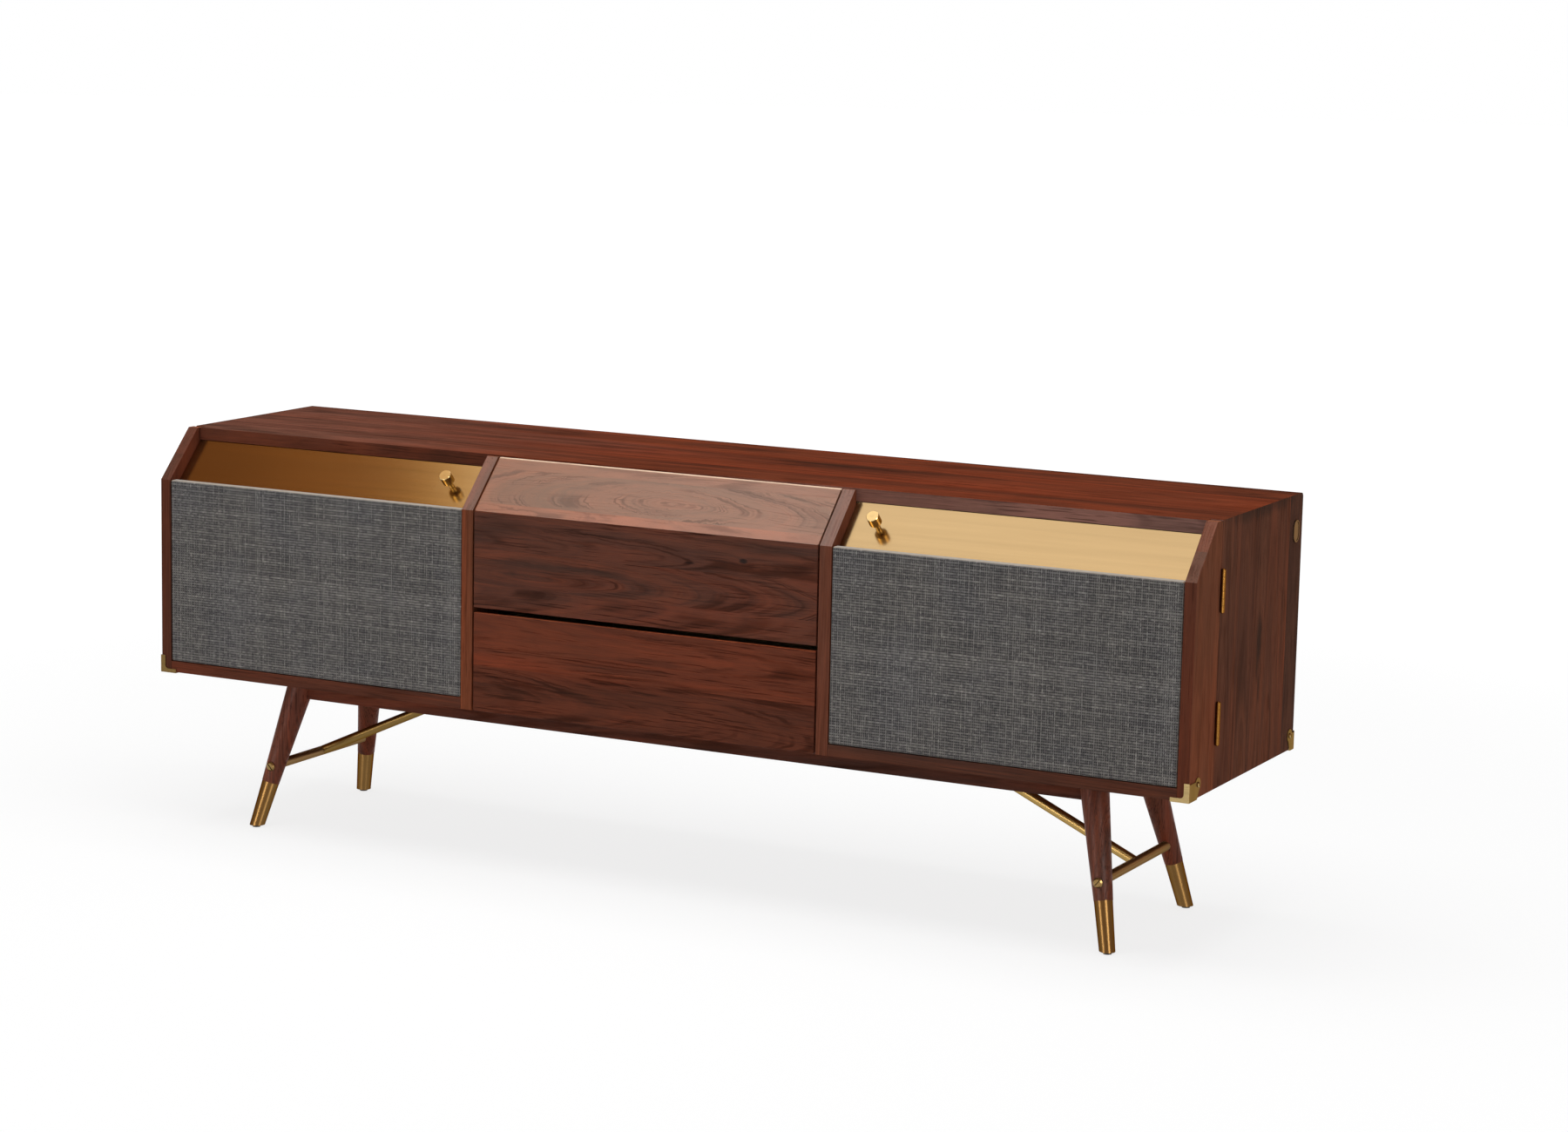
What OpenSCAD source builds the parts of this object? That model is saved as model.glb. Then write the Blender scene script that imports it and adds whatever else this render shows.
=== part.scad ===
// Media cabinet on splayed legs: two cloth-fronted side doors, two middle drawers, sloped upper front.
// Millimetres. The origin is on the floor under the middle of the body, +Z up, the front faces -Y.

/* [Body] */
// Width of the body
body_w = 1800; // [1500:10:2200]
// Depth of the body from the door faces to the back edges
body_d = 440; // [365:5:560]
// Height of the body without its legs
body_h = 396; // [350:2:480]
// Height of the body's underside above the floor
leg_h = 258; // [210:2:320]
// Thickness of the side panels and of the outer door stiles
side_t = 18; // [15:0.5:22]
// Thickness of the top panel
top_t = 20; // [16:0.5:24]
// Thickness of the bottom panel and of the doors' bottom rails
bottom_t = 18; // [15:0.5:22]
// Thickness of the partitions beside the drawers
partition_t = 18; // [15:0.5:19]
// Thickness of the back panel
back_t = 6; // [4:0.5:9]
// How far the back panel sits in from the back edges
back_inset = 3; // [1:0.5:8]
// Thickness of the shelves
shelf_t = 18; // [12:0.5:22]

/* [Sloped front] */
// How far back the slope runs from the front face
slope_run = 76; // [60:1:92]
// How far the slope rises to the top
slope_rise = 78; // [60:1:95]
// Length of the outer stile's flat top and rounded corner behind the slope
stile_flat = 20.6; // [16:0.2:30]
// Radius of the outer stile's rounded top corner
stile_corner_r = 8; // [4:0.5:10]
// How far in front of the side panels the top panel's front edge stands
top_overhang = 15; // [8:0.5:20]
// Radius of the body's rounded upper back edge
back_edge_r = 7; // [2:0.5:12]
// Gap between the door backs, or the drawer slope's end, and the carcass edges behind them
back_gap = 3; // [2:0.25:4]
// How far the drawer slope and the inner stiles stop below the top
end_drop = 2; // [1:0.5:4]

/* [Doors] */
// Width of an inner stile
inner_stile_w = 19.8; // [16:0.2:26]
// Gap between a door and the drawer fronts
door_gap = 3; // [2:0.25:4]
// Gap along the seam between a door and its side panel
seam_gap = 0.8; // [0.6:0.1:1.4]
// Depth of the brass panel below the slope
brass_recess = 19; // [14:0.5:24]
// Thickness of the brass panel
brass_t = 2.5; // [1.5:0.25:4]
// Gap beside the brass panel
brass_gap = 0.9; // [0.4:0.1:0.95]
// Thickness of the cloth-covered panel
cloth_t = 15; // [12:0.5:18]
// Gap round the cloth-covered panel
cloth_gap = 1.2; // [0.8:0.1:2]
// Width and depth of the ledges that carry the cloth and brass panels
ledge = 8; // [6:0.5:12]
// Diameter of a knob
knob_d = 19.5; // [14:0.5:26]
// Height of a knob above the brass panel
knob_h = 30; // [22:0.5:36]
// Distance from the inner stile to a knob's centre
knob_inset = 51; // [30:1:90]

/* [Hinges] */
// Length of a hinge
hinge_len = 63; // [50:1:80]
// Diameter of a hinge barrel
barrel_d = 6.6; // [6:0.2:8]
// Diameter of a hinge pin
hinge_pin_d = 3; // [2.5:0.1:3.4]
// Knuckles on one hinge
knuckles = 6; // [4:2:8]
// Distance from the top to the upper hinge
hinge_top_inset = 71; // [60:1:85]
// Distance from the underside to the lower hinge
hinge_bottom_inset = 67; // [55:1:80]

/* [Drawers] */
// Width of the drawer fronts
bay_w = 600; // [480:10:740]
// Thickness of the drawer fronts
front_t = 20; // [16:0.5:24]
// Height of the lower drawer front
lower_front_h = 157; // [120:1:185]
// Height of the finger gap between the two drawer fronts
finger_gap = 8.2; // [7:0.2:12]
// Thickness of the drawer sides and backs
drawer_side_t = 12; // [9:0.5:15]
// Thickness of the drawer bottoms
drawer_bottom_t = 6; // [4:0.5:9]
// Width of a runner, between a drawer side and its partition
runner_w = 13; // [12.7:0.1:15]
// Height of a runner
runner_h = 35; // [27:1:45]

/* [Legs] */
// Distance between the leg centres along the body, at the body
leg_span_top = 1404; // [1100:4:1700]
// Distance between the leg centres along the body, at the floor
leg_span_floor = 1517; // [1200:4:1860]
// Distance between the leg centres front to back, at the body
leg_depth_top = 198; // [150:2:260]
// Distance between the leg centres front to back, at the floor
leg_depth_floor = 318; // [250:2:400]
// How far behind the body's middle the leg frame stands
leg_shift = 3.5; // [0:0.5:10]
// Diameter of a leg at the body
leg_top_d = 46; // [36:0.5:54]
// Diameter of a leg at its ferrule
leg_low_d = 29; // [25:0.5:34]
// Diameter of a ferrule at the floor
ferrule_low_d = 24; // [21:0.5:28]
// Length of a ferrule along its leg
ferrule_len = 78; // [50:1:95]
// Diameter of a glide
glide_d = 13; // [10:0.5:18]
// Height of a glide
glide_h = 3.5; // [2:0.5:5]
// Diameter of the cross bars and braces
bar_d = 15.5; // [11:0.5:19]
// Height of the cross bars above the floor
bar_z = 102.4; // [95:0.2:125]
// Diameter of the cross bar screws' heads
bar_screw_d = 15.5; // [12:0.5:18]
// How far in from the cross bars the braces meet the underside
brace_reach = 332; // [260:2:420]
// Height of the aprons between the legs
apron_h = 44; // [30:1:60]
// Thickness of the aprons
apron_t = 20; // [16:0.5:24]

/* [Fittings] */
// Thickness of the brass corner guards
guard_t = 1.5; // [1:0.1:2]
// Height of a guard's upright arm
guard_up = 27; // [20:1:36]
// Length of a guard's level arm
guard_out = 28; // [20:1:36]
// Width and height of the cable outlets
outlet_size = [140, 50]; // [60:1:200]
// Width and height of the plain side plaque
plaque_size = [24, 34]; // [16:1:40]

/* [Hidden] */

$fn = 48;

// Clearances
fit = 0.05;         // round a pin, screw or bar in its hole, and under a screw's head
leaf_fit = 0.1;     // round a let-in hinge leaf
cone_fit = 0.1;     // round a leg's cone and inside its ferrule
slide_gap = 0.5;    // between a drawer's channel and the fixed one round it
nip = 1;            // how far a cutting tool runs past the face that it cuts

// Colours
walnut = "#6b3a2b";
walnut_dark = "#55302a";
pale_wood = "#b08a5c";
brass = "#b8924a";
cloth = "#5b5e63";
steel = "#a9adb2";
black = "#202020";

// Levels and planes. Depths are counted from the door faces, which lie at front_y.
front_y = -body_d / 2;
z0 = leg_h;
z1 = leg_h + body_h;
knee_z = z1 - slope_rise;
slope_a = atan2(slope_rise, slope_run);
slope_len = norm([slope_run, slope_rise]);
half_w = body_w / 2;
inner_w = half_w - side_t;
seam_d = slope_run + stile_flat + seam_gap / 2;
side_front_d = seam_d + seam_gap / 2;
top_front_d = seam_d - top_overhang;
frame_d = top_front_d - back_gap;
back_front_d = body_d - back_inset - back_t;
floor_z = z0 + bottom_t;
ceiling_z = z1 - top_t;

// Drawer bay and doors
bay_half = bay_w / 2;
door_in = bay_half + door_gap;
panel_in = door_in + inner_stile_w;
drawer_inset = 10;
drawer_half = bay_half - drawer_inset;
partition_in = drawer_half + runner_w + slide_gap;
partition_out = partition_in + partition_t;
drawer_back_d = back_front_d - 26;
lower_z = [z0 + bottom_t + 8, z0 + lower_front_h - 15];
upper_front_z = z0 + lower_front_h + finger_gap;
upper_z = [upper_front_z + 13, ceiling_z - 32];
finger_bevel = 11;
runner_d = [top_front_d + 2, drawer_back_d - 1];
channel_t = 1.5;

// Hinges
hinge_x = half_w + barrel_d / 2 + 0.3;
hinge_zs = [z1 - hinge_top_inset - hinge_len, z0 + hinge_bottom_inset];
leaf_t = 1.2;
leaf_w = 14;
leaf_gap = 0.4;
knuckle_h = hinge_len / knuckles;
knuckle_gap = 0.3;

// Cloth panel, ledges and catches
brass_s = [3, (top_front_d - brass_recess * sin(slope_a)) / cos(slope_a)];
ledge_s = [10, brass_s[1] - 8];
cleat_z = [floor_z + ledge, knee_z - 26];
catch_x = (door_in + panel_in) / 2;
magnet_d = 10;
magnet_len = 12;
magnet_face_d = frame_d + 1.4;
magnet_zs = [floor_z + 60, knee_z - 20];
strike_d = 12;
strike_t = 1.5;
strike_let_in = 0.5;

// Knob
knob_neck_d = 8;
knob_neck_h = 13;
knob_stud_d = 4;
knob_nut_d = 9;
knob_nut_t = 3;

// Leg frame
ferrule_t = 1.2;
ferrule_step = 0.35;
cone_turn = 37;     // keeps a cone's start line away from its leg's highest and lowest sides
ferrule_floor_t = 2.5;
leg_bolt_d = 8;
leg_bolt_z = [z0 - 30, z0 + bottom_t - 4];
glide_pin_d = 4;
glide_pin_h = 12;
bar_t = bar_z / z0;
bar_x = leg_span_floor / 2 + (leg_span_top - leg_span_floor) / 2 * bar_t;
bar_leg_y = leg_depth_floor / 2 + (leg_depth_top - leg_depth_floor) / 2 * bar_t;
bar_half = bar_leg_y - 6;
bar_seat = bar_leg_y + 14;
bar_screw_h = 4.5;
bar_shank_d = 6;
bar_shank_in = 8;
brace_top_x = bar_x - brace_reach;
flange_d = 36;
flange_t = 3;
flange_screw_off = 12;
flange_screw_d = 7;
flange_shank_d = 3.6;
flange_shank_len = 12;
apron_face = leg_depth_top / 2 + 12;
shelf_z = (floor_z + ceiling_z) / 2 - shelf_t / 2;
shelf_front_d = top_front_d + 28;
shelf_pin_d = 5;
shelf_pin_in = 10;
shelf_pin_out = 8;
shelf_pin_from = 40;
shelf_gap = 0.5;
outlet_x = (partition_out + inner_w) / 2;
outlet_z = floor_z + 55;
plaque_at = [body_d - 29, z1 - 56];
guard_up_w = 7;
guard_out_h = 5;
guard_fillet = 6;
guard_lobe_r = 10;
front_guard_screw = [32.5, 20.5];
back_guard_screw = [18.5, 22.5];
guard_screw_d = 8;
guard_shank_d = 3.2;
guard_shank_len = 12;

// A point on the sloped front, s along it from the knee and deep below it
function slope_point(s, deep) =
    [s * cos(slope_a) + deep * sin(slope_a), knee_z + s * sin(slope_a) - deep * cos(slope_a)];

// Turns a drawing of X and Z into a solid between two depths behind the door faces
module between_depths(from, to) {
    translate([0, front_y + to, 0]) rotate([90, 0, 0]) linear_extrude(to - from) children();
}

// Turns a drawing of depth and Z into a solid between two X values
module between_x(from, to) {
    translate([from, front_y, 0]) rotate([90, 0, 90]) linear_extrude(to - from) children();
}

// A box from its limits in X, depth and Z
module board(x, d, z) {
    translate([x[0], front_y + d[0], z[0]]) cube([x[1] - x[0], d[1] - d[0], z[1] - z[0]]);
}

// Draws its children on the right, or mirrored on the left
module on_side(side) {
    if (side < 0) mirror([1, 0, 0]) children();
    else children();
}

// A round rod from one point to another
module rod(from, to, d) {
    v = to - from;
    translate(from) rotate([0, acos(v[2] / norm(v)), atan2(v[1], v[0])]) cylinder(h = norm(v), d = d);
}

// A strip that lies between two depths below the slope
module slope_strip(s, deep) {
    polygon([
        slope_point(s[0], deep[0]), slope_point(s[1], deep[0]),
        slope_point(s[1], deep[1]), slope_point(s[0], deep[1])
    ]);
}

// A slotted screw that points along -Z, its head's underside at z 0
module slotted_screw(head_d, head_h, shank_d, shank_len, slot_turn = 0) {
    slot_w = head_d / 9;
    difference() {
        union() {
            cylinder(h = head_h * 0.55, d = head_d);
            translate([0, 0, head_h * 0.55]) cylinder(h = head_h * 0.45, d1 = head_d, d2 = head_d * 0.72);
        }
        rotate([0, 0, slot_turn]) translate([-head_d, -slot_w / 2, head_h * 0.55])
            cube([2 * head_d, slot_w, head_h]);
    }
    translate([0, 0, -shank_len]) cylinder(h = shank_len, d = shank_d);
}

// Carcass

// The stretch of the top or bottom panel that reaches forward between the doors' outer stiles
module front_tongue(z) {
    board([-inner_w + seam_gap, inner_w - seam_gap], [top_front_d, side_front_d], z);
}

// What is cut away to round the upper back edge of the top and the side panels
module back_edge_cut() {
    between_x(-half_w - nip, half_w + nip) translate([body_d - back_edge_r, z1 - back_edge_r])
        difference() {
            square(back_edge_r + nip);
            circle(r = back_edge_r);
        }
}

module top_panel() {
    color(walnut) {
        difference() {
            between_depths(side_front_d, body_d)
                polygon([[-half_w, z1], [half_w, z1], [inner_w, ceiling_z], [-inner_w, ceiling_z]]);
            back_edge_cut();
        }
        front_tongue([ceiling_z, z1]);
    }
}

module bottom_panel() {
    color(walnut) difference() {
        union() {
            board([-inner_w, inner_w], [side_front_d, back_front_d], [z0, floor_z]);
            front_tongue([z0, floor_z]);
            board([-bay_half + 1, bay_half - 1], [front_t + 2, top_front_d], [z0, floor_z]);
        }
        leg_bolt_holes();
        for (side = [-1, 1]) on_side(side) at_flange_screws(-fit)
            cylinder(h = flange_shank_len + 2 * fit, d = flange_shank_d + 2 * fit);
    }
}

module side_panel(side) {
    on_side(side) color(walnut) difference() {
        between_depths(side_front_d, body_d)
            polygon([[half_w, z0], [half_w, z1], [inner_w, ceiling_z], [inner_w, z0]]);
        back_edge_cut();
        for (z = hinge_zs) hinge_leaf_pocket(z);
        shelf_pin_holes(inner_w, 1);
        mirror([0, 1, 0]) guard_screw_hole(back_guard_screw);
    }
}

module partition(side) {
    on_side(side) color(walnut_dark) difference() {
        board([partition_in, partition_out], [top_front_d, back_front_d], [floor_z, ceiling_z]);
        for (z = magnet_zs) magnet(z, fit);
        shelf_pin_holes(partition_out, -1);
    }
}

module back_panel() {
    color(walnut_dark) difference() {
        board([-inner_w, inner_w], [back_front_d, body_d - back_inset], [z0, ceiling_z]);
        for (side = [-1, 1])
            board(
                [side * outlet_x - outlet_size[0] / 2, side * outlet_x + outlet_size[0] / 2],
                [back_front_d - nip, body_d + nip],
                [outlet_z, outlet_z + outlet_size[1]]
            );
    }
}

module shelf(side) {
    on_side(side) color(walnut_dark)
        board(
            [partition_out + shelf_gap, inner_w - shelf_gap],
            [shelf_front_d, back_front_d - shelf_gap],
            [shelf_z, shelf_z + shelf_t]
        );
}

// Shelf pins against the face at x, which looks along -side * X
module shelf_pin_row(x, side, d, nip_in = 0) {
    for (depth = [shelf_front_d + shelf_pin_from, back_front_d - shelf_pin_from])
        translate([x - side * shelf_pin_out, front_y + depth, shelf_z - fit - shelf_pin_d / 2])
            rotate([0, side * 90, 0]) cylinder(h = shelf_pin_in + shelf_pin_out + nip_in, d = d);
}

module shelf_pin_holes(x, side) {
    shelf_pin_row(x, side, shelf_pin_d + 2 * fit, fit);
}

module shelf_pins() {
    color(steel) for (side = [-1, 1]) on_side(side) {
        shelf_pin_row(inner_w, 1, shelf_pin_d);
        shelf_pin_row(partition_out, -1, shelf_pin_d);
    }
}

// Leg frame

// Puts its children on a leg's axis, which starts on the floor and points up the leg
module on_leg(side, end) {
    foot = [side * leg_span_floor / 2, leg_shift + end * leg_depth_floor / 2, 0];
    head = [side * leg_span_top / 2, leg_shift + end * leg_depth_top / 2, z0];
    v = head - foot;
    translate(foot) rotate([0, acos(v[2] / norm(v)), atan2(v[1], v[0])]) rotate([0, 0, cone_turn])
        children();
}

function leg_axis_len() =
    norm([(leg_span_floor - leg_span_top) / 2, (leg_depth_floor - leg_depth_top) / 2, z0]);

// The leg's cone above its ferrule, grown by extra, run on past the underside of the body
module leg_cone(side, end, extra = 0) {
    run_on = 20;
    cone_len = leg_axis_len() - ferrule_len;
    top_d = leg_top_d + (leg_top_d - leg_low_d) / cone_len * run_on;
    on_leg(side, end) translate([0, 0, ferrule_len])
        cylinder(h = cone_len + run_on, d1 = leg_low_d + 2 * extra, d2 = top_d + 2 * extra);
}

// The ferrule's cone, thinned all round by wall
module ferrule_cone(side, end, wall = 0) {
    run_on = 10;
    top_d = leg_low_d - 2 * ferrule_step;
    grow = (top_d - ferrule_low_d) / ferrule_len;
    on_leg(side, end) translate([0, 0, -run_on])
        cylinder(
            h = ferrule_len + run_on,
            d1 = ferrule_low_d - grow * run_on - 2 * wall,
            d2 = top_d - 2 * wall
        );
}

// A level slab over one leg, to cut it off flat
module leg_slab(side, end, from, to) {
    room = 2 * leg_top_d;
    at = [
        side * (leg_span_floor + leg_span_top) / 4,
        leg_shift + end * (leg_depth_floor + leg_depth_top) / 4
    ];
    size = [(leg_span_floor - leg_span_top) / 2 + room, (leg_depth_floor - leg_depth_top) / 2 + room];
    translate([at[0] - size[0] / 2, at[1] - size[1] / 2, from]) cube([size[0], size[1], to - from]);
}

module leg(side, end) {
    color(walnut) difference() {
        union() {
            intersection() {
                leg_cone(side, end);
                leg_slab(side, end, 0, z0);
            }
            intersection() {
                ferrule_cone(side, end, ferrule_t + cone_fit);
                leg_slab(side, end, glide_h + ferrule_floor_t + fit, z0);
            }
        }
        bar_hole(side, end);
        leg_bolt(side, end, leg_bolt_d + 2 * fit, [leg_bolt_z[0] - fit, z0 + nip]);
        glide_pin(side, end, glide_pin_d + 2 * fit, glide_h + glide_pin_h + fit);
    }
}

module leg_ferrules() {
    color(brass) for (side = [-1, 1], end = [-1, 1]) difference() {
        intersection() {
            ferrule_cone(side, end);
            leg_slab(side, end, glide_h, z0);
        }
        intersection() {
            ferrule_cone(side, end, ferrule_t);
            leg_slab(side, end, glide_h + ferrule_floor_t, z0);
        }
        glide_pin(side, end, glide_pin_d + 2 * fit, glide_h + glide_pin_h);
    }
}

module glide_pin(side, end, d, top) {
    translate([side * leg_span_floor / 2, leg_shift + end * leg_depth_floor / 2, 0])
        cylinder(h = top, d = d);
}

module leg_glides() {
    color(black) for (side = [-1, 1], end = [-1, 1]) {
        glide_pin(side, end, glide_d, glide_h);
        glide_pin(side, end, glide_pin_d, glide_h + glide_pin_h);
    }
}

module leg_bolt(side, end, d, z) {
    translate([side * leg_span_top / 2, leg_shift + end * leg_depth_top / 2, z[0]])
        cylinder(h = z[1] - z[0], d = d);
}

module leg_bolts() {
    color(steel) for (side = [-1, 1], end = [-1, 1]) leg_bolt(side, end, leg_bolt_d, leg_bolt_z);
}

module leg_bolt_holes() {
    for (side = [-1, 1], end = [-1, 1])
        leg_bolt(side, end, leg_bolt_d + 2 * fit, [z0 - nip, leg_bolt_z[1] + fit]);
}

module apron(end) {
    faces = [leg_shift + end * apron_face, leg_shift + end * (apron_face - apron_t)];
    color(walnut) difference() {
        translate([-leg_span_top / 2, min(faces), z0 - apron_h])
            cube([leg_span_top, apron_t, apron_h]);
        for (side = [-1, 1]) {
            leg_cone(side, end, cone_fit);
            apron_end_cut(side);
        }
    }
}

// Removes what would stick out past the legs' axes
module apron_end_cut(side) {
    wide = leg_top_d;
    translate([side * (leg_span_top / 2 - 2) - (side < 0 ? wide : 0), -body_d, z0 - apron_h - nip])
        cube([wide, 2 * body_d, apron_h + 2 * nip]);
}

// Turns -Z of its children outwards along end * Y at the leg's own bar height
module at_bar_end(side, end, y) {
    translate([side * bar_x, leg_shift + end * y, bar_z]) rotate([-end * 90, 0, 0]) children();
}

// What a leg gives up for its cross bar and the screw that holds it
module bar_hole(side, end) {
    at_bar_end(side, end, bar_half) rotate([180, 0, 0]) translate([0, 0, -fit])
        cylinder(h = bar_leg_y, d = bar_d + 2 * fit);
    at_bar_end(side, end, bar_half - nip)
        cylinder(h = bar_seat - bar_half + 2 * nip, d = bar_shank_d + 2 * fit);
    at_bar_end(side, end, bar_seat) cylinder(h = leg_top_d, d = bar_screw_d + 2 * fit);
}

module cross_bar(side) {
    color(brass) difference() {
        rod(
            [side * bar_x, leg_shift - bar_half, bar_z],
            [side * bar_x, leg_shift + bar_half, bar_z],
            bar_d
        );
        for (end = [-1, 1])
            at_bar_end(side, end, bar_half - bar_shank_in - 1)
                cylinder(h = bar_shank_in + 1 + nip, d = bar_shank_d + 2 * fit);
    }
}

module cross_bar_screws() {
    slot_turn = 48;
    color(brass) for (side = [-1, 1], end = [-1, 1])
        at_bar_end(side, end, bar_seat)
            slotted_screw(
                bar_screw_d, bar_screw_h, bar_shank_d,
                bar_seat - bar_half + bar_shank_in, side * slot_turn
            );
}

module brace(side) {
    run_on = 30;
    from = [side * bar_x, leg_shift, bar_z];
    to = [side * brace_top_x, leg_shift, z0 - flange_t];
    past = to + (to - from) / norm(to - from) * run_on;
    color(brass) difference() {
        rod(from, past, bar_d);
        rod(from - [0, bar_d, 0], from + [0, bar_d, 0], bar_d + 2 * fit);
        translate([side * brace_top_x - run_on * 3, leg_shift - bar_d, z0 - flange_t])
            cube([run_on * 6, 2 * bar_d, run_on * 2]);
        translate(from) rotate([0, side * 90, 0])
            translate([-bar_d, -bar_d, 0]) cube([2 * bar_d, 2 * bar_d, bar_d]);
    }
}

// Two screw places on the right flange, raised by lift above the underside
module at_flange_screws(lift) {
    for (end = [-1, 1])
        translate([brace_top_x, leg_shift + end * flange_screw_off, z0 + lift]) children();
}

module brace_flanges() {
    color(brass) for (side = [-1, 1]) on_side(side) {
        difference() {
            translate([brace_top_x, leg_shift, z0 - flange_t]) cylinder(h = flange_t, d = flange_d);
            at_flange_screws(-flange_t - nip)
                cylinder(h = flange_t + 2 * nip, d = flange_shank_d + 2 * fit);
        }
        at_flange_screws(-flange_t - fit) rotate([180, 0, 0])
            slotted_screw(flange_screw_d, 2, flange_shank_d, flange_t + flange_shank_len, 20);
    }
}

// Fittings

// Outline of a guard's side plate. X runs in from the guarded edge and Y up from the underside;
// the plate ends in a round lobe about its screw.
module guard_side_outline(screw) {
    foot = screw[0] - guard_lobe_r / 4;
    difference() {
        union() {
            translate([-guard_t, -guard_t]) square([foot + guard_t, guard_up - 2 + guard_t]);
            polygon([[0, -guard_t], [foot, -guard_t], [screw[0] + guard_lobe_r, screw[1]], screw]);
            translate(screw) circle(r = guard_lobe_r);
        }
        translate(screw) circle(d = guard_shank_d + 2 * fit);
    }
}

// Outline of a guard's front plate: X runs out to the guarded corner at 0
module guard_front_outline() {
    translate([-guard_up_w, -guard_t]) square([guard_up_w + guard_t, guard_up + guard_t]);
    translate([-guard_out, -guard_t]) square([guard_out + guard_t, guard_out_h + guard_t]);
    difference() {
        translate([-guard_up_w - guard_fillet, guard_out_h]) square(guard_fillet);
        translate([-guard_up_w - guard_fillet, guard_out_h + guard_fillet]) circle(r = guard_fillet);
    }
}

// A brass corner guard at the right end of the front edge, with its screw a way in and up
module guard(screw) {
    foot = screw[0] - guard_lobe_r / 4;
    translate([half_w, front_y, z0]) {
        rotate([90, 0, 0]) linear_extrude(guard_t) guard_front_outline();
        rotate([90, 0, 90]) linear_extrude(guard_t) guard_side_outline(screw);
        translate([0, 0, -guard_t]) linear_extrude(guard_t)
            polygon([
                [guard_t, -guard_t], [guard_t, foot], [-guard_up_w, foot],
                [-guard_out, guard_up_w], [-guard_out, -guard_t]
            ]);
        translate([guard_t + fit, screw[0], screw[1]]) rotate([0, 90, 0])
            slotted_screw(guard_screw_d, 2.4, guard_shank_d, guard_shank_len + guard_t, 30);
    }
}

module guard_screw_hole(screw) {
    translate([half_w - guard_shank_len, front_y + screw[0], z0 + screw[1]]) rotate([0, 90, 0])
        cylinder(h = guard_shank_len + nip, d = guard_shank_d + 2 * fit);
}

module back_corner_guards() {
    color(brass) for (side = [-1, 1]) on_side(side) mirror([0, 1, 0]) guard(back_guard_screw);
}

// Outline of the plaque, thinned all round by wall
module plaque_outline(wall) {
    round = plaque_size[0] / 2;
    straight = plaque_size[1] / 2 - round;
    for (end = [-1, 1]) translate([0, end * straight]) circle(r = round - wall);
    square([2 * (round - wall), 2 * straight], center = true);
}

module side_plaque() {
    rim_h = 2.2;
    sunk = 0.7;
    color(brass) translate([half_w, front_y + plaque_at[0], plaque_at[1]]) rotate([90, 0, 90])
        difference() {
            linear_extrude(rim_h) plaque_outline(0);
            translate([0, 0, rim_h - sunk]) linear_extrude(sunk + nip) plaque_outline(2);
        }
}

module magnet(z, extra) {
    translate([catch_x, front_y + magnet_face_d + magnet_len + extra, z]) rotate([90, 0, 0])
        cylinder(h = magnet_len + extra, d = magnet_d + 2 * extra);
}

module door_magnets() {
    color(steel) for (side = [-1, 1], z = magnet_zs) on_side(side) magnet(z, 0);
}

// Hinges. A leaf lies flat against the seam; its knuckles alternate with the other leaf's.

module hinge_leaf(z, d, first) {
    difference() {
        union() {
            board([half_w - leaf_w, half_w], d, [z, z + hinge_len]);
            for (k = [first : 2 : knuckles - 1]) {
                from = z + k * knuckle_h + knuckle_gap / 2;
                to = from + knuckle_h - knuckle_gap;
                board([half_w - nip, hinge_x], d, [from, to]);
                translate([hinge_x, front_y + seam_d, from]) cylinder(h = to - from, d = barrel_d);
            }
        }
        translate([hinge_x, front_y + seam_d, z - nip])
            cylinder(h = hinge_len + 2 * nip, d = hinge_pin_d + 2 * fit);
    }
}

// Limits in depth of the leaf on the carcass, and of the leaf on the door
function frame_leaf_d() = [seam_d + leaf_gap / 2, seam_d + leaf_gap / 2 + leaf_t];
function door_leaf_d() = [seam_d - leaf_gap / 2 - leaf_t, seam_d - leaf_gap / 2];

module hinge_leaf_pocket(z) {
    board(
        [half_w - leaf_w - leaf_fit, half_w + nip],
        [door_leaf_d()[0] - leaf_fit, frame_leaf_d()[1] + leaf_fit],
        [z - leaf_fit, z + hinge_len + leaf_fit]
    );
}

module hinge_frame_leaves() {
    color(brass) for (side = [-1, 1], z = hinge_zs) on_side(side) hinge_leaf(z, frame_leaf_d(), 1);
}

module hinge_pins() {
    cap_h = 1.2;
    color(brass) for (side = [-1, 1], z = hinge_zs) on_side(side)
        translate([hinge_x, front_y + seam_d, z - cap_h]) {
            cylinder(h = hinge_len + 2 * cap_h, d = hinge_pin_d);
            cylinder(h = cap_h, d1 = hinge_pin_d, d2 = barrel_d - 1);
            translate([0, 0, hinge_len + cap_h]) cylinder(h = cap_h, d1 = barrel_d - 1, d2 = hinge_pin_d);
        }
}

// Doors

module outer_stile(side) {
    back = seam_d - seam_gap / 2;
    on_side(side) color(walnut) difference() {
        union() {
            between_x(inner_w, half_w) {
                polygon([
                    [0, z0], [0, knee_z], [slope_run, z1], [back - stile_corner_r, z1],
                    [back, z1 - stile_corner_r], [back, z0]
                ]);
                translate([back - stile_corner_r, z1 - stile_corner_r]) circle(r = stile_corner_r);
            }
            door_ledges(inner_w - ledge, inner_w);
        }
        for (z = hinge_zs) hinge_leaf_pocket(z);
        guard_screw_hole(front_guard_screw);
    }
}

// The upright cleat behind the cloth panel, and the ledge under the brass panel
module door_ledges(from, to) {
    between_x(from, to) {
        translate([cloth_t, cleat_z[0]]) square([ledge, cleat_z[1] - cleat_z[0]]);
        slope_strip(ledge_s, [brass_recess + brass_t, brass_recess + brass_t + ledge]);
    }
}

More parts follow.
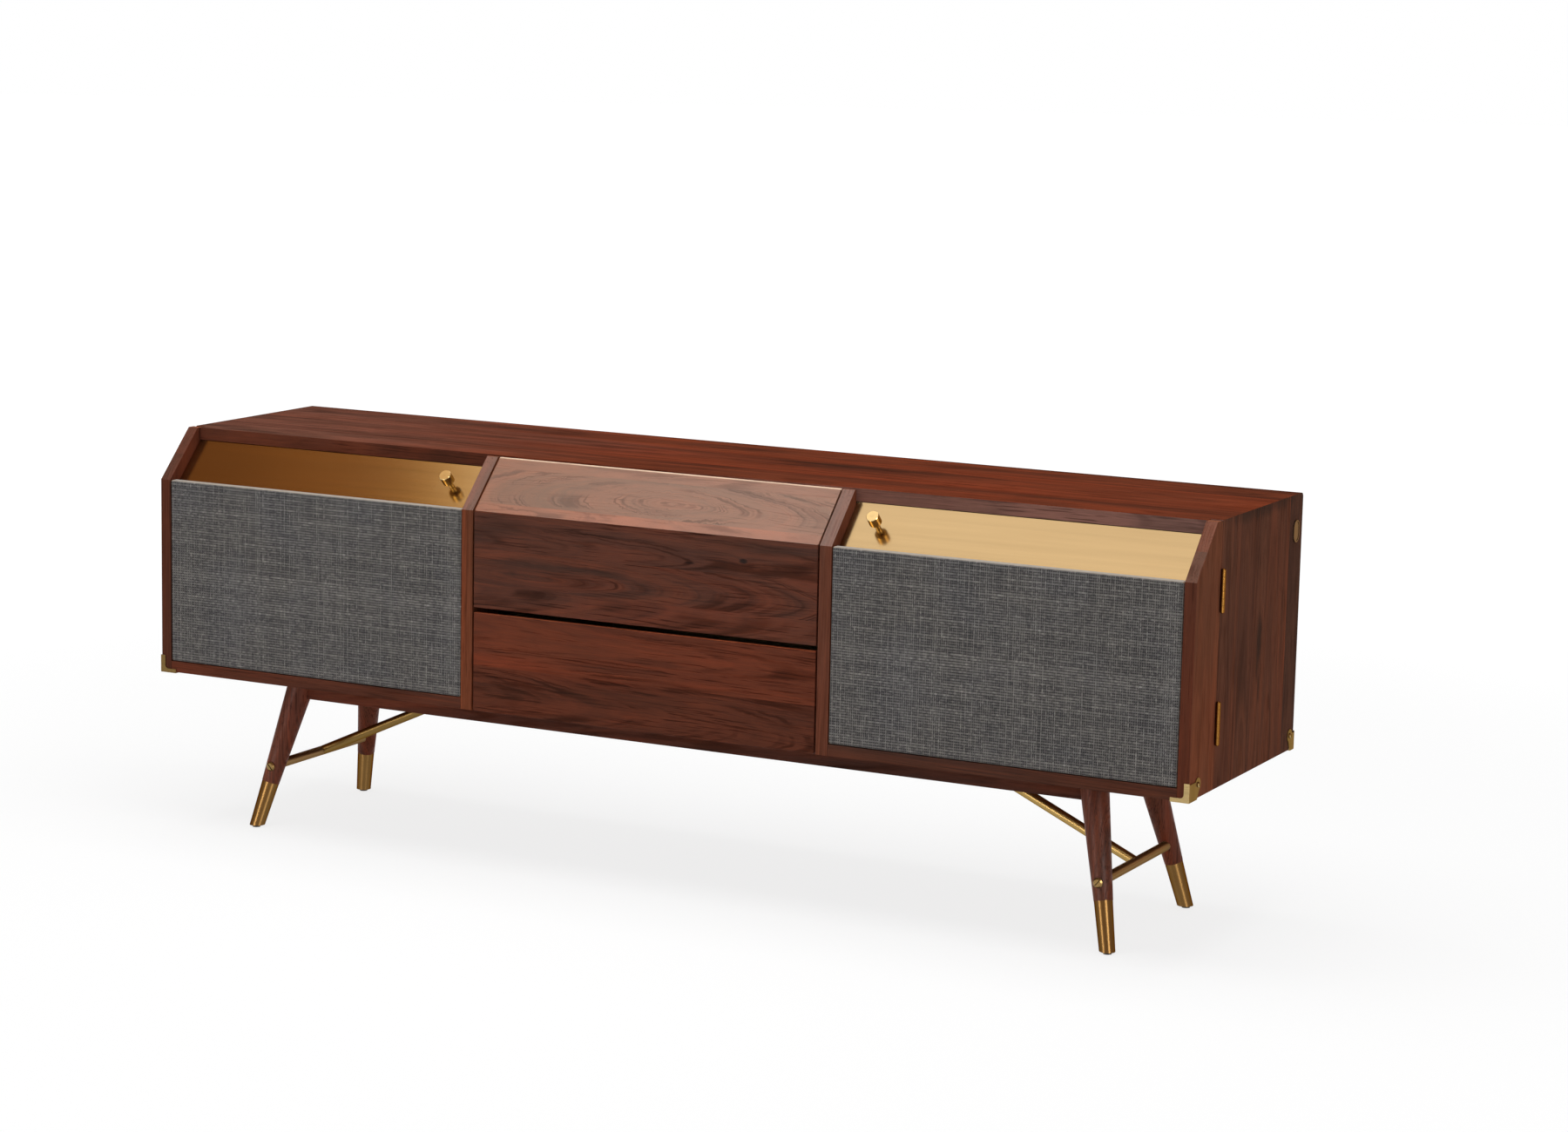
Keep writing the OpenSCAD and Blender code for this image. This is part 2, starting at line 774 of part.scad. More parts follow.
// Outline of what stands behind the slope and ends at the top panel's front edge
module slope_end_outline(from_z) {
    end_s = (slope_rise - end_drop) / sin(slope_a);
    polygon([
        [0, from_z], [0, knee_z], slope_point(end_s, 0), [frame_d, z1 - end_drop], [frame_d, from_z]
    ]);
}

module inner_stile(side) {
    on_side(side) color(walnut) difference() {
        union() {
            between_x(door_in, panel_in) slope_end_outline(z0);
            door_ledges(panel_in, panel_in + ledge);
        }
        for (z = magnet_zs) strike_plate(z, fit);
    }
}

module bottom_rail(side) {
    on_side(side) color(walnut) between_x(panel_in, inner_w) {
        translate([0, z0]) square([frame_d, bottom_t]);
        translate([cloth_t, floor_z]) square([ledge, ledge]);
    }
}

module cloth_panel(side) {
    on_side(side) color(cloth)
        board([panel_in + cloth_gap, inner_w - cloth_gap], [0, cloth_t], [floor_z + cloth_gap, knee_z]);
}

// Puts its children on the brass panel at the knob, +Z out of the slope
module at_knob() {
    at = slope_point(slope_len / 2, brass_recess);
    translate([panel_in + knob_inset, front_y + at[0], at[1]]) rotate([slope_a, 0, 0]) children();
}

module brass_panel(side) {
    on_side(side) color(brass) difference() {
        between_x(panel_in + brass_gap, inner_w - brass_gap)
            slope_strip(brass_s, [brass_recess, brass_recess + brass_t]);
        at_knob() translate([0, 0, -brass_t - nip])
            cylinder(h = brass_t + 2 * nip, d = knob_stud_d + 2 * fit);
    }
}

module knob(side) {
    r = knob_d / 2;
    edge = 0.6;
    stud_len = brass_t + knob_nut_t + 3;
    on_side(side) color(brass) at_knob() {
        rotate_extrude() polygon([
            [0, -stud_len], [knob_stud_d / 2, -stud_len], [knob_stud_d / 2, 0], [knob_neck_d / 2, 0],
            [knob_neck_d / 2, knob_neck_h], [r - edge, knob_neck_h], [r, knob_neck_h + edge],
            [r, knob_h - edge], [r - edge, knob_h], [0, knob_h]
        ]);
        translate([0, 0, -brass_t - knob_nut_t]) difference() {
            cylinder(h = knob_nut_t, d = knob_nut_d, $fn = 6);
            translate([0, 0, -nip]) cylinder(h = knob_nut_t + 2 * nip, d = knob_stud_d + 2 * fit);
        }
    }
}

module door_hinge_leaves(side) {
    on_side(side) color(brass) for (z = hinge_zs) hinge_leaf(z, door_leaf_d(), 0);
}

module door_corner_guard(side) {
    on_side(side) color(brass) guard(front_guard_screw);
}

module strike_plate(z, extra) {
    translate([catch_x, front_y + frame_d - strike_let_in + strike_t, z]) rotate([90, 0, 0])
        cylinder(h = strike_t + extra, d = strike_d + 2 * extra);
}

module strike_plates(side) {
    on_side(side) color(steel) for (z = magnet_zs) strike_plate(z, 0);
}

// Drawers

// Height where the back faces of the two upper boards meet
function inner_knee_z() = slope_point(0, front_t)[1]
    + (front_t - slope_point(0, front_t)[0]) * tan(slope_a);

module upper_drawer_front() {
    inner_z = inner_knee_z();
    color(walnut) between_x(-bay_half, bay_half)
        polygon([
            [0, upper_front_z], [0, knee_z], [front_t, inner_z],
            [front_t, upper_front_z + finger_bevel], [front_t - finger_bevel, upper_front_z]
        ]);
}

module upper_drawer_slope() {
    end_s = (slope_rise - end_drop) / sin(slope_a);
    color(walnut) between_x(-bay_half, bay_half)
        polygon([
            [0, knee_z], slope_point(end_s, 0), [frame_d, z1 - end_drop],
            [frame_d, inner_knee_z() + (frame_d - front_t) * tan(slope_a)], [front_t, inner_knee_z()]
        ]);
}

module lower_drawer_front() {
    top = z0 + lower_front_h;
    color(walnut) between_x(-bay_half, bay_half)
        polygon([
            [0, z0], [0, top], [front_t - finger_bevel, top], [front_t, top - finger_bevel], [front_t, z0]
        ]);
}

// The two sides of the upper drawer follow the back of its slope board
module upper_drawer_sides() {
    color(pale_wood) for (side = [-1, 1]) on_side(side)
        between_x(drawer_half - drawer_side_t, drawer_half)
            polygon([
                [front_t, upper_z[0]], [front_t, inner_knee_z()],
                [front_t + (upper_z[1] - inner_knee_z()) / tan(slope_a), upper_z[1]],
                [drawer_back_d, upper_z[1]], [drawer_back_d, upper_z[0]]
            ]);
}

module lower_drawer_sides() {
    color(pale_wood) for (side = [-1, 1]) on_side(side)
        board([drawer_half - drawer_side_t, drawer_half], [front_t, drawer_back_d], lower_z);
}

module drawer_back(z) {
    inside = drawer_half - drawer_side_t;
    color(pale_wood) board([-inside, inside], [drawer_back_d - drawer_side_t, drawer_back_d], z);
}

module drawer_bottom(z) {
    inside = drawer_half - drawer_side_t;
    lift = 10;
    color(pale_wood)
        board(
            [-inside, inside],
            [front_t, drawer_back_d - drawer_side_t],
            [z[0] + lift, z[0] + lift + drawer_bottom_t]
        );
}

function runner_z(z) = z[0] + 56;

// The fixed channel on a partition, open towards the drawer
module drawer_rail(z) {
    inside = partition_in - channel_t;
    lip = drawer_half + channel_t + 2;
    board([inside, partition_in], runner_d, [z - runner_h / 2, z + runner_h / 2]);
    for (edge = [z - runner_h / 2, z + runner_h / 2 - channel_t])
        board([lip, inside], runner_d, [edge, edge + channel_t]);
}

module drawer_rails() {
    color(steel) for (side = [-1, 1], z = [lower_z, upper_z]) on_side(side) drawer_rail(runner_z(z));
}

// The moving channel on a drawer side, which runs inside the fixed one
module drawer_slides(z) {
    slide_h = runner_h - 2 * channel_t - 2 * slide_gap;
    tip = drawer_half + runner_w - channel_t - slide_gap / 2;
    color(steel) for (side = [-1, 1]) on_side(side) {
        board([drawer_half, drawer_half + channel_t], runner_d, [z - slide_h / 2, z + slide_h / 2]);
        for (edge = [z - slide_h / 2, z + slide_h / 2 - channel_t])
            board([drawer_half + channel_t, tip], runner_d, [edge, edge + channel_t]);
    }
}

top_panel();
bottom_panel();
side_panel(-1);  // left_side_panel
side_panel(1);  // right_side_panel
partition(-1);  // left_partition
partition(1);  // right_partition
back_panel();
shelf(-1);  // left_shelf
shelf(1);  // right_shelf
shelf_pins();
apron(-1);  // front_apron
apron(1);  // back_apron
leg(-1, -1);  // front_left_leg
leg(1, -1);  // front_right_leg
leg(-1, 1);  // back_left_leg
leg(1, 1);  // back_right_leg
leg_bolts();
leg_ferrules();
leg_glides();
cross_bar(-1);  // left_cross_bar
cross_bar(1);  // right_cross_bar
cross_bar_screws();
brace(-1);  // left_brace
brace(1);  // right_brace
brace_flanges();
back_corner_guards();
side_plaque();
door_magnets();
hinge_frame_leaves();
hinge_pins();
drawer_rails();
outer_stile(-1);  // left_door_outer_stile
inner_stile(-1);  // left_door_inner_stile
bottom_rail(-1);  // left_door_bottom_rail
cloth_panel(-1);  // left_door_cloth_panel
brass_panel(-1);  // left_door_brass_panel
knob(-1);  // left_door_knob
door_hinge_leaves(-1);  // left_door_hinge_leaves
door_corner_guard(-1);  // left_door_corner_guard
strike_plates(-1);  // left_door_strike_plates
outer_stile(1);  // right_door_outer_stile
inner_stile(1);  // right_door_inner_stile
bottom_rail(1);  // right_door_bottom_rail
cloth_panel(1);  // right_door_cloth_panel
brass_panel(1);  // right_door_brass_panel
knob(1);  // right_door_knob
door_hinge_leaves(1);  // right_door_hinge_leaves
door_corner_guard(1);  // right_door_corner_guard
strike_plates(1);  // right_door_strike_plates
upper_drawer_front();
upper_drawer_slope();
upper_drawer_sides();
drawer_back([upper_z[0], upper_z[1] - 10]);  // upper_drawer_back
drawer_bottom(upper_z);  // upper_drawer_bottom
drawer_slides(runner_z(upper_z));  // upper_drawer_slides
lower_drawer_front();
lower_drawer_sides();
drawer_back([lower_z[0], lower_z[1] - 10]);  // lower_drawer_back
drawer_bottom(lower_z);  // lower_drawer_bottom
drawer_slides(runner_z(lower_z));  // lower_drawer_slides
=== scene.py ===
"""Looks of the media cabinet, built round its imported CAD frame.

Lengths are in metres in the row frame: +X right, +Y front to back, +Z up, floor at z 0.
Each wood material is a solid block of grain, so the figure runs on from face to face.
"""
import math
from typing import NamedTuple

import bmesh
import bpy
import numpy as np
from mathutils import Matrix, Vector


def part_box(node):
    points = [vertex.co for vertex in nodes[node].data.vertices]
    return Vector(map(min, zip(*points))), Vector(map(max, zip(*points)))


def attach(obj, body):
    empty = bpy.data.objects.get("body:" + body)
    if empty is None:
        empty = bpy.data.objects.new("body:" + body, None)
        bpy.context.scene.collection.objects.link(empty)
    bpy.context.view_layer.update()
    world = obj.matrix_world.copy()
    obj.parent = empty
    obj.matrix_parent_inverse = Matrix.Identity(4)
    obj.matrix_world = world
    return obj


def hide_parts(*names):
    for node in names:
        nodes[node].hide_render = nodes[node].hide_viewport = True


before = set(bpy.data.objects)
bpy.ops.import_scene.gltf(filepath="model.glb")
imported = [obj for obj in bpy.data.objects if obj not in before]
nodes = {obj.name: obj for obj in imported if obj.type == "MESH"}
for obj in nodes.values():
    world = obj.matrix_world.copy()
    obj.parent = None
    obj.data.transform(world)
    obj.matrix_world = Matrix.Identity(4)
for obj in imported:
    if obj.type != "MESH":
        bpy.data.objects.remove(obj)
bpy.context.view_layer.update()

X, Y, Z = (1, 0, 0), (0, 1, 0), (0, 0, 1)
WHITE = (1, 1, 1, 1)
MM = 0.001
SIDES = (("left", -1), ("right", 1))


def linear(*srgb):
    """A colour given as 0 to 255 sRGB levels, as the linear values that a socket takes."""
    levels = [c / 255 for c in srgb]
    return [c / 12.92 if c <= 0.04045 else ((c + 0.055) / 1.055) ** 2.4 for c in levels] + [1]


def square_to(a, b):
    """The direction square to two others."""
    return tuple(Vector(a).cross(Vector(b)))


def add_object(name, data):
    made = bpy.data.objects.new(name, data)
    bpy.context.scene.collection.objects.link(made)
    return made


# ---------------------------------------------------------------- node building


class Graph:
    """Short calls for building the nodes of a material or of the world."""

    def __init__(self, owner):
        self.owner = owner
        owner.use_nodes = True
        self.tree = owner.node_tree
        self.tree.nodes.clear()

    def node(self, kind, inputs=None, **settings):
        made = self.tree.nodes.new("ShaderNode" + kind)
        for key, value in settings.items():
            setattr(made, key, value)
        for key, value in (inputs or {}).items():
            self.feed(made.inputs[key], value)
        return made

    def feed(self, socket, value):
        if isinstance(value, bpy.types.NodeSocket):
            self.tree.links.new(value, socket)
        else:
            socket.default_value = value

    def math(self, operation, a, b=None, c=None, clamp=False):
        inputs = {i: value for i, value in enumerate((a, b, c)) if value is not None}
        return self.node("Math", inputs, operation=operation, use_clamp=clamp).outputs[0]

    def add(self, a, b):
        return self.math("ADD", a, b)

    def mul(self, a, b):
        return self.math("MULTIPLY", a, b)

    def mul_add(self, value, factor, addend):
        return self.math("MULTIPLY_ADD", value, factor, addend)

    def swing(self, value, amount):
        """value, which runs from 0 to 1, as a swing of that amount either side of nothing."""
        return self.mul_add(value, 2 * amount, -amount)

    def length(self, x, y):
        return self.math("SQRT", self.add(self.mul(x, x), self.mul(y, y)))

    def dot(self, vector, axis):
        made = self.node("VectorMath", {0: vector, 1: axis}, operation="DOT_PRODUCT")
        return made.outputs["Value"]

    def vector(self, x, y, z):
        return self.node("CombineXYZ", {0: x, 1: y, 2: z}).outputs[0]

    def grey(self, value):
        return self.vector(value, value, value)

    def split(self, vector):
        return self.node("SeparateXYZ", {0: vector}).outputs

    def place(self):
        return self.node("TexCoord").outputs["Object"]

    def axes(self, along, across):
        """A point's coordinates along two directions, and along the one square to both."""
        place = self.place()
        return [self.dot(place, axis) for axis in (along, across, square_to(along, across))]

    def noise(self, vector, scale=1.0, detail=2.0, rough=0.5):
        inputs = {"Vector": vector, "Scale": scale, "Detail": detail, "Roughness": rough}
        return self.node("TexNoise", inputs).outputs["Fac"]

    def noise_at(self, x, y, z, detail=2.0, rough=0.5):
        """Noise at a point. A coordinate given as (value, factor) is multiplied, so a cell of the
        noise is about 1 / factor long that way."""
        point = [self.mul(*c) if isinstance(c, tuple) else c for c in (x, y, z)]
        return self.noise(self.vector(*point), 1.0, detail, rough)

    def ramp(self, value, stops, interpolation="LINEAR"):
        made = self.node("ValToRGB", {"Fac": value})
        made.color_ramp.interpolation = interpolation
        elements = made.color_ramp.elements
        while len(elements) < len(stops):
            elements.new(0.5)
        for element, (place, colour) in zip(elements, stops):
            element.position, element.color = place, colour
        return made.outputs["Color"]

    def range(self, value, low, high, to_low=0.0, to_high=1.0, kind="SMOOTHSTEP"):
        inputs = {"Value": value, "From Min": low, "From Max": high}
        inputs.update({"To Min": to_low, "To Max": to_high})
        return self.node("MapRange", inputs, interpolation_type=kind).outputs[0]

    def near(self, value, middle, far, close, most=1.0):
        """most where value is within close of middle, and 0 where it is beyond far."""
        return self.range(self.math("ABSOLUTE", self.add(value, -middle)), far, close, 0.0, most)

    def mix(self, factor, a, b, blend="MIX"):
        made = self.node("Mix", data_type="RGBA", blend_type=blend)
        self.feed(made.inputs[0], factor)
        self.feed(made.inputs[6], a)
        self.feed(made.inputs[7], b)
        return made.outputs[2]

    def tint(self, colour, by):
        return self.mix(1.0, colour, by, "MULTIPLY")

    def tone(self, colour, value, saturation=1.0):
        """colour made lighter or darker by value, a factor."""
        inputs = {"Color": colour, "Value": value, "Saturation": saturation}
        return self.node("HueSaturation", inputs).outputs[0]

    def bump(self, height, distance, strength):
        inputs = {"Height": height, "Distance": distance, "Strength": strength}
        return self.node("Bump", inputs).outputs[0]

    def sees_background(self):
        """1 for the camera, glossy and transmission rays, which all see the white background."""
        path = self.node("LightPath")
        total = path.outputs["Is Camera Ray"]
        for name in ("Is Glossy Ray", "Is Transmission Ray"):
            total = self.math("ADD", total, path.outputs[name], clamp=True)
        return total

    def shade(self, **inputs):
        """Ends a material in a Principled shader; underscores in the names stand for spaces."""
        shader = self.node("BsdfPrincipled")
        for key, value in inputs.items():
            self.feed(shader.inputs[key.replace("_", " ")], value)
        self.node("OutputMaterial", {"Surface": shader.outputs[0]})
        return self.owner


def material_graph(name):
    return Graph(bpy.data.materials.new(name))


# ---------------------------------------------------------------- walnut

WALNUT = [
    (0.00, linear(52, 34, 29)),
    (0.26, linear(78, 47, 37)),
    (0.50, linear(104, 58, 42)),
    (0.74, linear(127, 66, 45)),
    (1.00, linear(152, 84, 58)),
]
DARK_WALNUT = [
    (0.0, linear(38, 26, 22)),
    (0.4, linear(60, 38, 30)),
    (0.7, linear(80, 49, 37)),
    (1.0, linear(98, 62, 45)),
]
PALE_WOOD = [
    (0.0, linear(150, 118, 82)),
    (0.4, linear(182, 150, 108)),
    (0.7, linear(203, 172, 128)),
    (1.0, linear(218, 190, 150)),
]
STAIN = linear(52, 38, 31)
KNOT = linear(34, 24, 21)
PAINTED_EDGE_HIGHLIGHT = linear(196, 150, 126)
# where the painted highlight along an edge starts and is full, as distances from that edge
HIGHLIGHT_FROM, HIGHLIGHT_FULL = 2.6 * MM, 0.6 * MM
# a stave's settings pass through a colour, whose channels run from 0 to 1
DEEP_CODE, PEAK_SPAN, FIGURE_SPAN = 5.0, 4.0, 2.0


class Stave(NamedTuple):
    """One board of edge-glued walnut, which reaches from its start to the next one's.

    tone lightens it and red warms it. heart is where the tree's heart lies across it, deep how far
    that is below the face, rise how fast the heart climbs along the grain, and peak where along the
    grain it is nearest. figure is the strength of the grain."""

    start: float
    tone: float = 0.0
    red: float = 0.0
    heart: float = 0.5
    deep: float = 0.05
    rise: float = 0.02
    peak: float = 0.0
    figure: float = 1.0


def stave_channels(g, v, staves, end, seed):
    """The coded settings of the stave at v, as three rows of three sockets."""
    start, width = staves[0].start, end - staves[0].start
    rows = []
    for number, stave in enumerate(staves):
        following = staves[number + 1].start if number + 1 < len(staves) else end
        heart = stave.start + stave.heart * (following - stave.start)
        coded_heart = (heart - start) / width * 0.5 + 0.25
        rows.append((
            (0.5 + stave.tone, 0.5 + stave.red, coded_heart),
            (stave.deep * DEEP_CODE, stave.rise, 0.5 + stave.peak / PEAK_SPAN),
            ((number * 0.37 + seed * 0.11 + 0.05) % 1, stave.figure / FIGURE_SPAN, 0.0),
        ))
    if len(staves) == 1:
        return [g.split(g.vector(*row)) for row in rows[0]]
    share = g.range(v, start, end, kind="LINEAR")
    places = [(stave.start - start) / width for stave in staves]
    channels = []
    for row in zip(*rows):
        stops = [(place, (*coded, 1)) for place, coded in zip(places, row)]
        channels.append(g.split(g.ramp(share, stops, "CONSTANT")))
    return channels


def oval(g, u, v, at, size, ragged):
    """How far a point is from the middle of an oval mark, 1 at its edge, with a ragged outline."""
    across = g.math("POWER", g.math("DIVIDE", g.add(u, -at[0]), size[0]), 2.0)
    down = g.math("POWER", g.math("DIVIDE", g.add(v, -at[1]), size[1]), 2.0)
    return g.add(g.add(across, down), ragged)


def growth_lines(g, u, v, ring, own):
    """Thin dark lines that follow the rings, and come and go."""
    line = g.noise_at((u, 1.6), (ring, 74.0), g.add(own, 7.7), 2.0, 0.4)
    hair = g.noise_at((u, 3.0), (ring, 210.0), g.add(own, 1.9), 2.0, 0.4)
    strong = g.range(g.noise_at((u, 5.0), (v, 40.0), own), 0.40, 0.62)
    pair = g.math("MAXIMUM", g.near(line, 0.46, 0.036, 0.008), g.near(line, 0.57, 0.028, 0.008))
    return g.mul(g.math("MAXIMUM", pair, g.near(hair, 0.50, 0.055, 0.010, 0.55)), strong)


def walnut(name, along, across, staves, end, face=(0, 0, 0), colours=WALNUT, light=1.0, waves=1.0,
           contrast=1.0, knots=(), stains=(), seed=0.0, rough=0.42, shine=0.05, streaks=1.0,
           patch=1.0, lines=1.0, coat=0.0, painted_haze=None, cast=None, jag=0.0, tint=(1, 1, 1),
           highlight_edge=None):
    """Edge-glued walnut.

    along is the grain's direction and across the staves'. The staves fill the width up to end, and
    face is a point on the face that shows. waves and jag bend the grain, and contrast, patch,
    streaks and lines are the strengths of its figure, clouds, fibres and growth lines. A knot or
    stain is (u, v, half length, half width, strength). painted_haze is (from, to, share, gain), a
    painted sheen, where the colour greys along the grain in place of a haze of reflection.
    highlight_edge is where along across an edge lies, which gets a painted highlight, a paler line
    over its last 2 mm. cast tints the wood, and tint its reflections."""
    g = material_graph(name)
    u, v, w = g.axes(along, across)
    face_depth = Vector(face).dot(Vector(square_to(along, across)))
    start, width = staves[0].start, end - staves[0].start
    channels = stave_channels(g, v, staves, end, seed)
    (tone, red, heart), (deep, rise, peak), (number, figure, _) = channels
    own = g.mul(number, 37.0)

    bend = g.noise_at((u, 1.3), (v, 7.0), g.add(g.mul(w, 7.0), own))
    ripple = g.noise_at((u, 8.0), (v, 30.0), g.add(g.mul(w, 30.0), own), 3.0, 0.6)
    wander = g.add(g.swing(bend, 0.030 * waves), g.swing(ripple, 0.0050 * waves))
    if jag:
        teeth = g.noise_at((u, 95.0), (v, 120.0), g.add(g.mul(w, 120.0), own), 2.0, 0.6)
        wander = g.add(wander, g.swing(teeth, 0.003 * jag))
    for x, at, long, wide, strength in knots:
        reach = oval(g, u, v, (x, at), (long * 2.4, wide * 2.4), 0.0)
        wander = g.add(wander, g.mul(g.math("EXPONENT", g.mul(reach, -1.0)), strength * wide))

    # the distance from the tree's heart, which the growth rings follow
    from_heart = g.add(g.add(v, wander), g.mul_add(heart, -2 * width, 0.5 * width - start))
    climb = g.mul(rise, g.add(u, g.mul_add(peak, -PEAK_SPAN, PEAK_SPAN / 2)))
    below = g.add(g.add(g.math("DIVIDE", deep, DEEP_CODE), climb), g.swing(bend, 0.010 * waves))
    ring = g.length(from_heart, g.add(below, g.add(w, -face_depth)))
    ring = g.add(ring, g.swing(ripple, 0.0020 * waves))

    # each layer follows the rings, and breaks up slowly along the grain
    broad = g.noise_at((u, 1.1), (ring, 46.0), own, 3.0, 0.55)
    mid = g.noise_at((u, 2.6), (ring, 170.0), own, 3.0, 0.62)
    fine = g.noise_at((u, 7.0), (ring, 560.0), (w, 40.0), 3.0, 0.6)
    blotch = g.noise_at((u, 3.4), (v, 17.0), g.add(g.mul(w, 17.0), own), 4.0, 0.6)
    fibre = g.noise_at((u, 9.0), (g.add(v, wander), 620.0), (w, 620.0), 3.0, 0.7)
    pore = g.noise_at((u, 46.0), (g.add(v, wander), 1700.0), (w, 1700.0), 1.0)
    pores = g.range(pore, 0.58, 0.70)
    drift = g.add(v, g.swing(bend, 0.030 * waves))
    dash = g.noise_at((u, 13.0), (drift, 480.0), (w, 480.0))
    dashes = g.mul(g.range(dash, 0.57, 0.66), g.range(blotch, 0.36, 0.60, 0.3, 1.0))

    shade = g.add(g.swing(broad, 0.50 * contrast), g.swing(mid, 0.46 * contrast))
    shade = g.add(shade, g.swing(fine, 0.26 * contrast))
    shade = g.mul(shade, g.mul(figure, FIGURE_SPAN))
    shade = g.add(shade, g.swing(blotch, 0.40 * patch))
    shade = g.add(shade, tone)
    shade = g.add(shade, g.swing(fibre, 0.16 * streaks))
    colour = g.ramp(shade, colours)

    ruddy = g.noise_at((u, 1.9), (ring, 38.0), g.add(own, 3.3), 3.0)
    warmth = g.add(g.swing(ruddy, 0.9), g.mul_add(red, 2.0, -1.0))
    warm, cool = g.tint(colour, (1.20, 0.90, 0.76, 1)), g.tint(colour, (0.80, 0.95, 1.00, 1))
    colour = g.mix(g.range(warmth, 0.0, 0.6, 0, 0.7, "LINEAR"), colour, warm)
    colour = g.mix(g.range(warmth, 0.0, -0.6, 0, 0.7, "LINEAR"), colour, cool)

    thin = growth_lines(g, u, v, ring, own)
    colour = g.mix(g.mul(thin, min(1.0, 0.5 * lines)), colour, g.tone(colour, 0.66 - 0.16 * lines))
    colour = g.mix(g.mul(pores, 0.30), colour, g.tone(colour, 0.50))
    colour = g.mix(g.mul(dashes, 0.55 * streaks), colour, g.tone(colour, 0.45))
    ragged = g.add(g.swing(ripple, 1.1), g.swing(mid, 1.2))
    for x, at, long, wide, strength in stains:
        away = oval(g, u, v, (x, at), (long, wide), ragged)
        soaked = g.mix(0.25, STAIN, colour)
        colour = g.mix(g.range(away, 1.3, -0.2, 0.0, strength), colour, soaked)
    for x, at, long, wide, strength in knots:
        away = oval(g, u, v, (x, at), (long, wide), g.swing(ripple, 0.5))
        colour = g.mix(g.range(away, 1.2, 0.1, 0.0, min(strength, 0.9)), colour, KNOT)
    # painted sheen: the colour greys along the grain in place of a haze of reflection
    if painted_haze:
        begin, finish, most, gain = painted_haze
        greyed = g.tint(g.tone(colour, gain, 0.74), (0.98, 1.04, 1.02, 1))
        how_far = g.range(g.add(u, g.swing(bend, 0.5)), begin, finish, 0.0, most)
        colour = g.mix(how_far, colour, greyed)
    if highlight_edge:
        # painted highlight: the colour turns paler along the edge, in place of light glinting on its
        # rounding
        edge = g.range(v, highlight_edge - HIGHLIGHT_FROM, highlight_edge - HIGHLIGHT_FULL, 0.0, 0.9)
        colour = g.mix(g.mul(edge, g.range(ripple, 0.25, 0.55, 0.55, 1.0)), colour, PAINTED_EDGE_HIGHLIGHT)
    if light != 1.0:
        colour = g.tone(colour, light)
    if cast:
        colour = g.tint(colour, (*cast, 1))

    bump = g.bump(g.add(g.mul(fibre, 0.5), g.mul(pores, -0.8)), 0.00012, 0.6)
    roughness = g.add(g.mul_add(fibre, 0.20, rough - 0.10), g.mul(pores, 0.15))
    roughness = g.add(roughness, g.mul(g.math("MAXIMUM", thin, dashes), 0.4))
    return g.shade(Base_Color=colour, Roughness=roughness, Specular_IOR_Level=shine, Normal=bump,
                   Coat_Weight=coat, Coat_Roughness=0.34, Specular_Tint=(*tint, 1))


def pale_wood(name, along, across, seed):
    trunk = [Stave(-1.0, heart=0.5, deep=0.06, rise=0.03, peak=0.2)]
    return walnut(name, along, across, trunk, 1.0, colours=PALE_WOOD, contrast=0.6, patch=0.5,
                  streaks=1.2, seed=seed, rough=0.5, shine=0.3)


# ---------------------------------------------------------------- camera, lights, floor

CAMERA_AT = (2.74054, -5.11117, 1.44246)
CAMERA_TURN, CAMERA_TILT, CAMERA_ROLL = (math.radians(a) for a in (27.042, 9.3395, 1.1934))
CAMERA_LENS, SENSOR = 85.467, 36.0
# the light that the world gives, and the white that the floor shows near the cabinet and far away
AMBIENT, FLOOR_GLOW, FAR_GLOW = 0.42, 0.80, 0.98
CEILING = (0.28, 0.11, 0.035, 1)
FLOOR_RADIUS = 30


def add_camera():
    back = Vector((math.sin(CAMERA_TURN) * math.cos(CAMERA_TILT),
                   -math.cos(CAMERA_TURN) * math.cos(CAMERA_TILT), math.sin(CAMERA_TILT)))
    right = Vector((math.cos(CAMERA_TURN), math.sin(CAMERA_TURN), 0))
    up = back.cross(right)
    rolled_right = math.cos(CAMERA_ROLL) * right + math.sin(CAMERA_ROLL) * up
    rolled_up = -math.sin(CAMERA_ROLL) * right + math.cos(CAMERA_ROLL) * up
    data = bpy.data.cameras.new("photo_camera")
    data.lens, data.sensor_width, data.sensor_fit = CAMERA_LENS, SENSOR, "HORIZONTAL"
    camera = add_object("photo_camera", data)
    turn = Matrix((rolled_right, rolled_up, back)).transposed().to_4x4()
    camera.matrix_world = Matrix.Translation(CAMERA_AT) @ turn
    bpy.context.scene.camera = camera


def add_area(name, at, aim, size, watts, colour=(1, 1, 1)):
    data = bpy.data.lights.new(name, "AREA")
    data.shape, (data.size, data.size_y) = "RECTANGLE", size
    data.energy, data.color = watts, colour
    light = add_object(name, data)
    light.location = at
    light.visible_camera = False
    light.rotation_mode = "QUATERNION"
    light.rotation_quaternion = (Vector(aim) - Vector(at)).to_track_quat("-Z", "Y")
    return light


def add_world():
    world = bpy.data.worlds.new("studio")
    bpy.context.scene.world = world
    g = Graph(world)
    # from just above the horizon up, reflections see a dark, warm ceiling in place of the white
    height = g.split(g.node("TexCoord").outputs["Generated"])[2]
    above = g.mul(g.range(height, 0.02, 0.06), g.node("LightPath").outputs["Is Glossy Ray"])
    seen = g.node("Background", {"Color": g.mix(above, WHITE, CEILING)})
    lit = g.node("Background", {"Color": WHITE, "Strength": AMBIENT})
    choose = g.node("MixShader", {0: g.sees_background(), 1: lit.outputs[0], 2: seen.outputs[0]})
    g.node("OutputWorld", {"Surface": choose.outputs[0]})


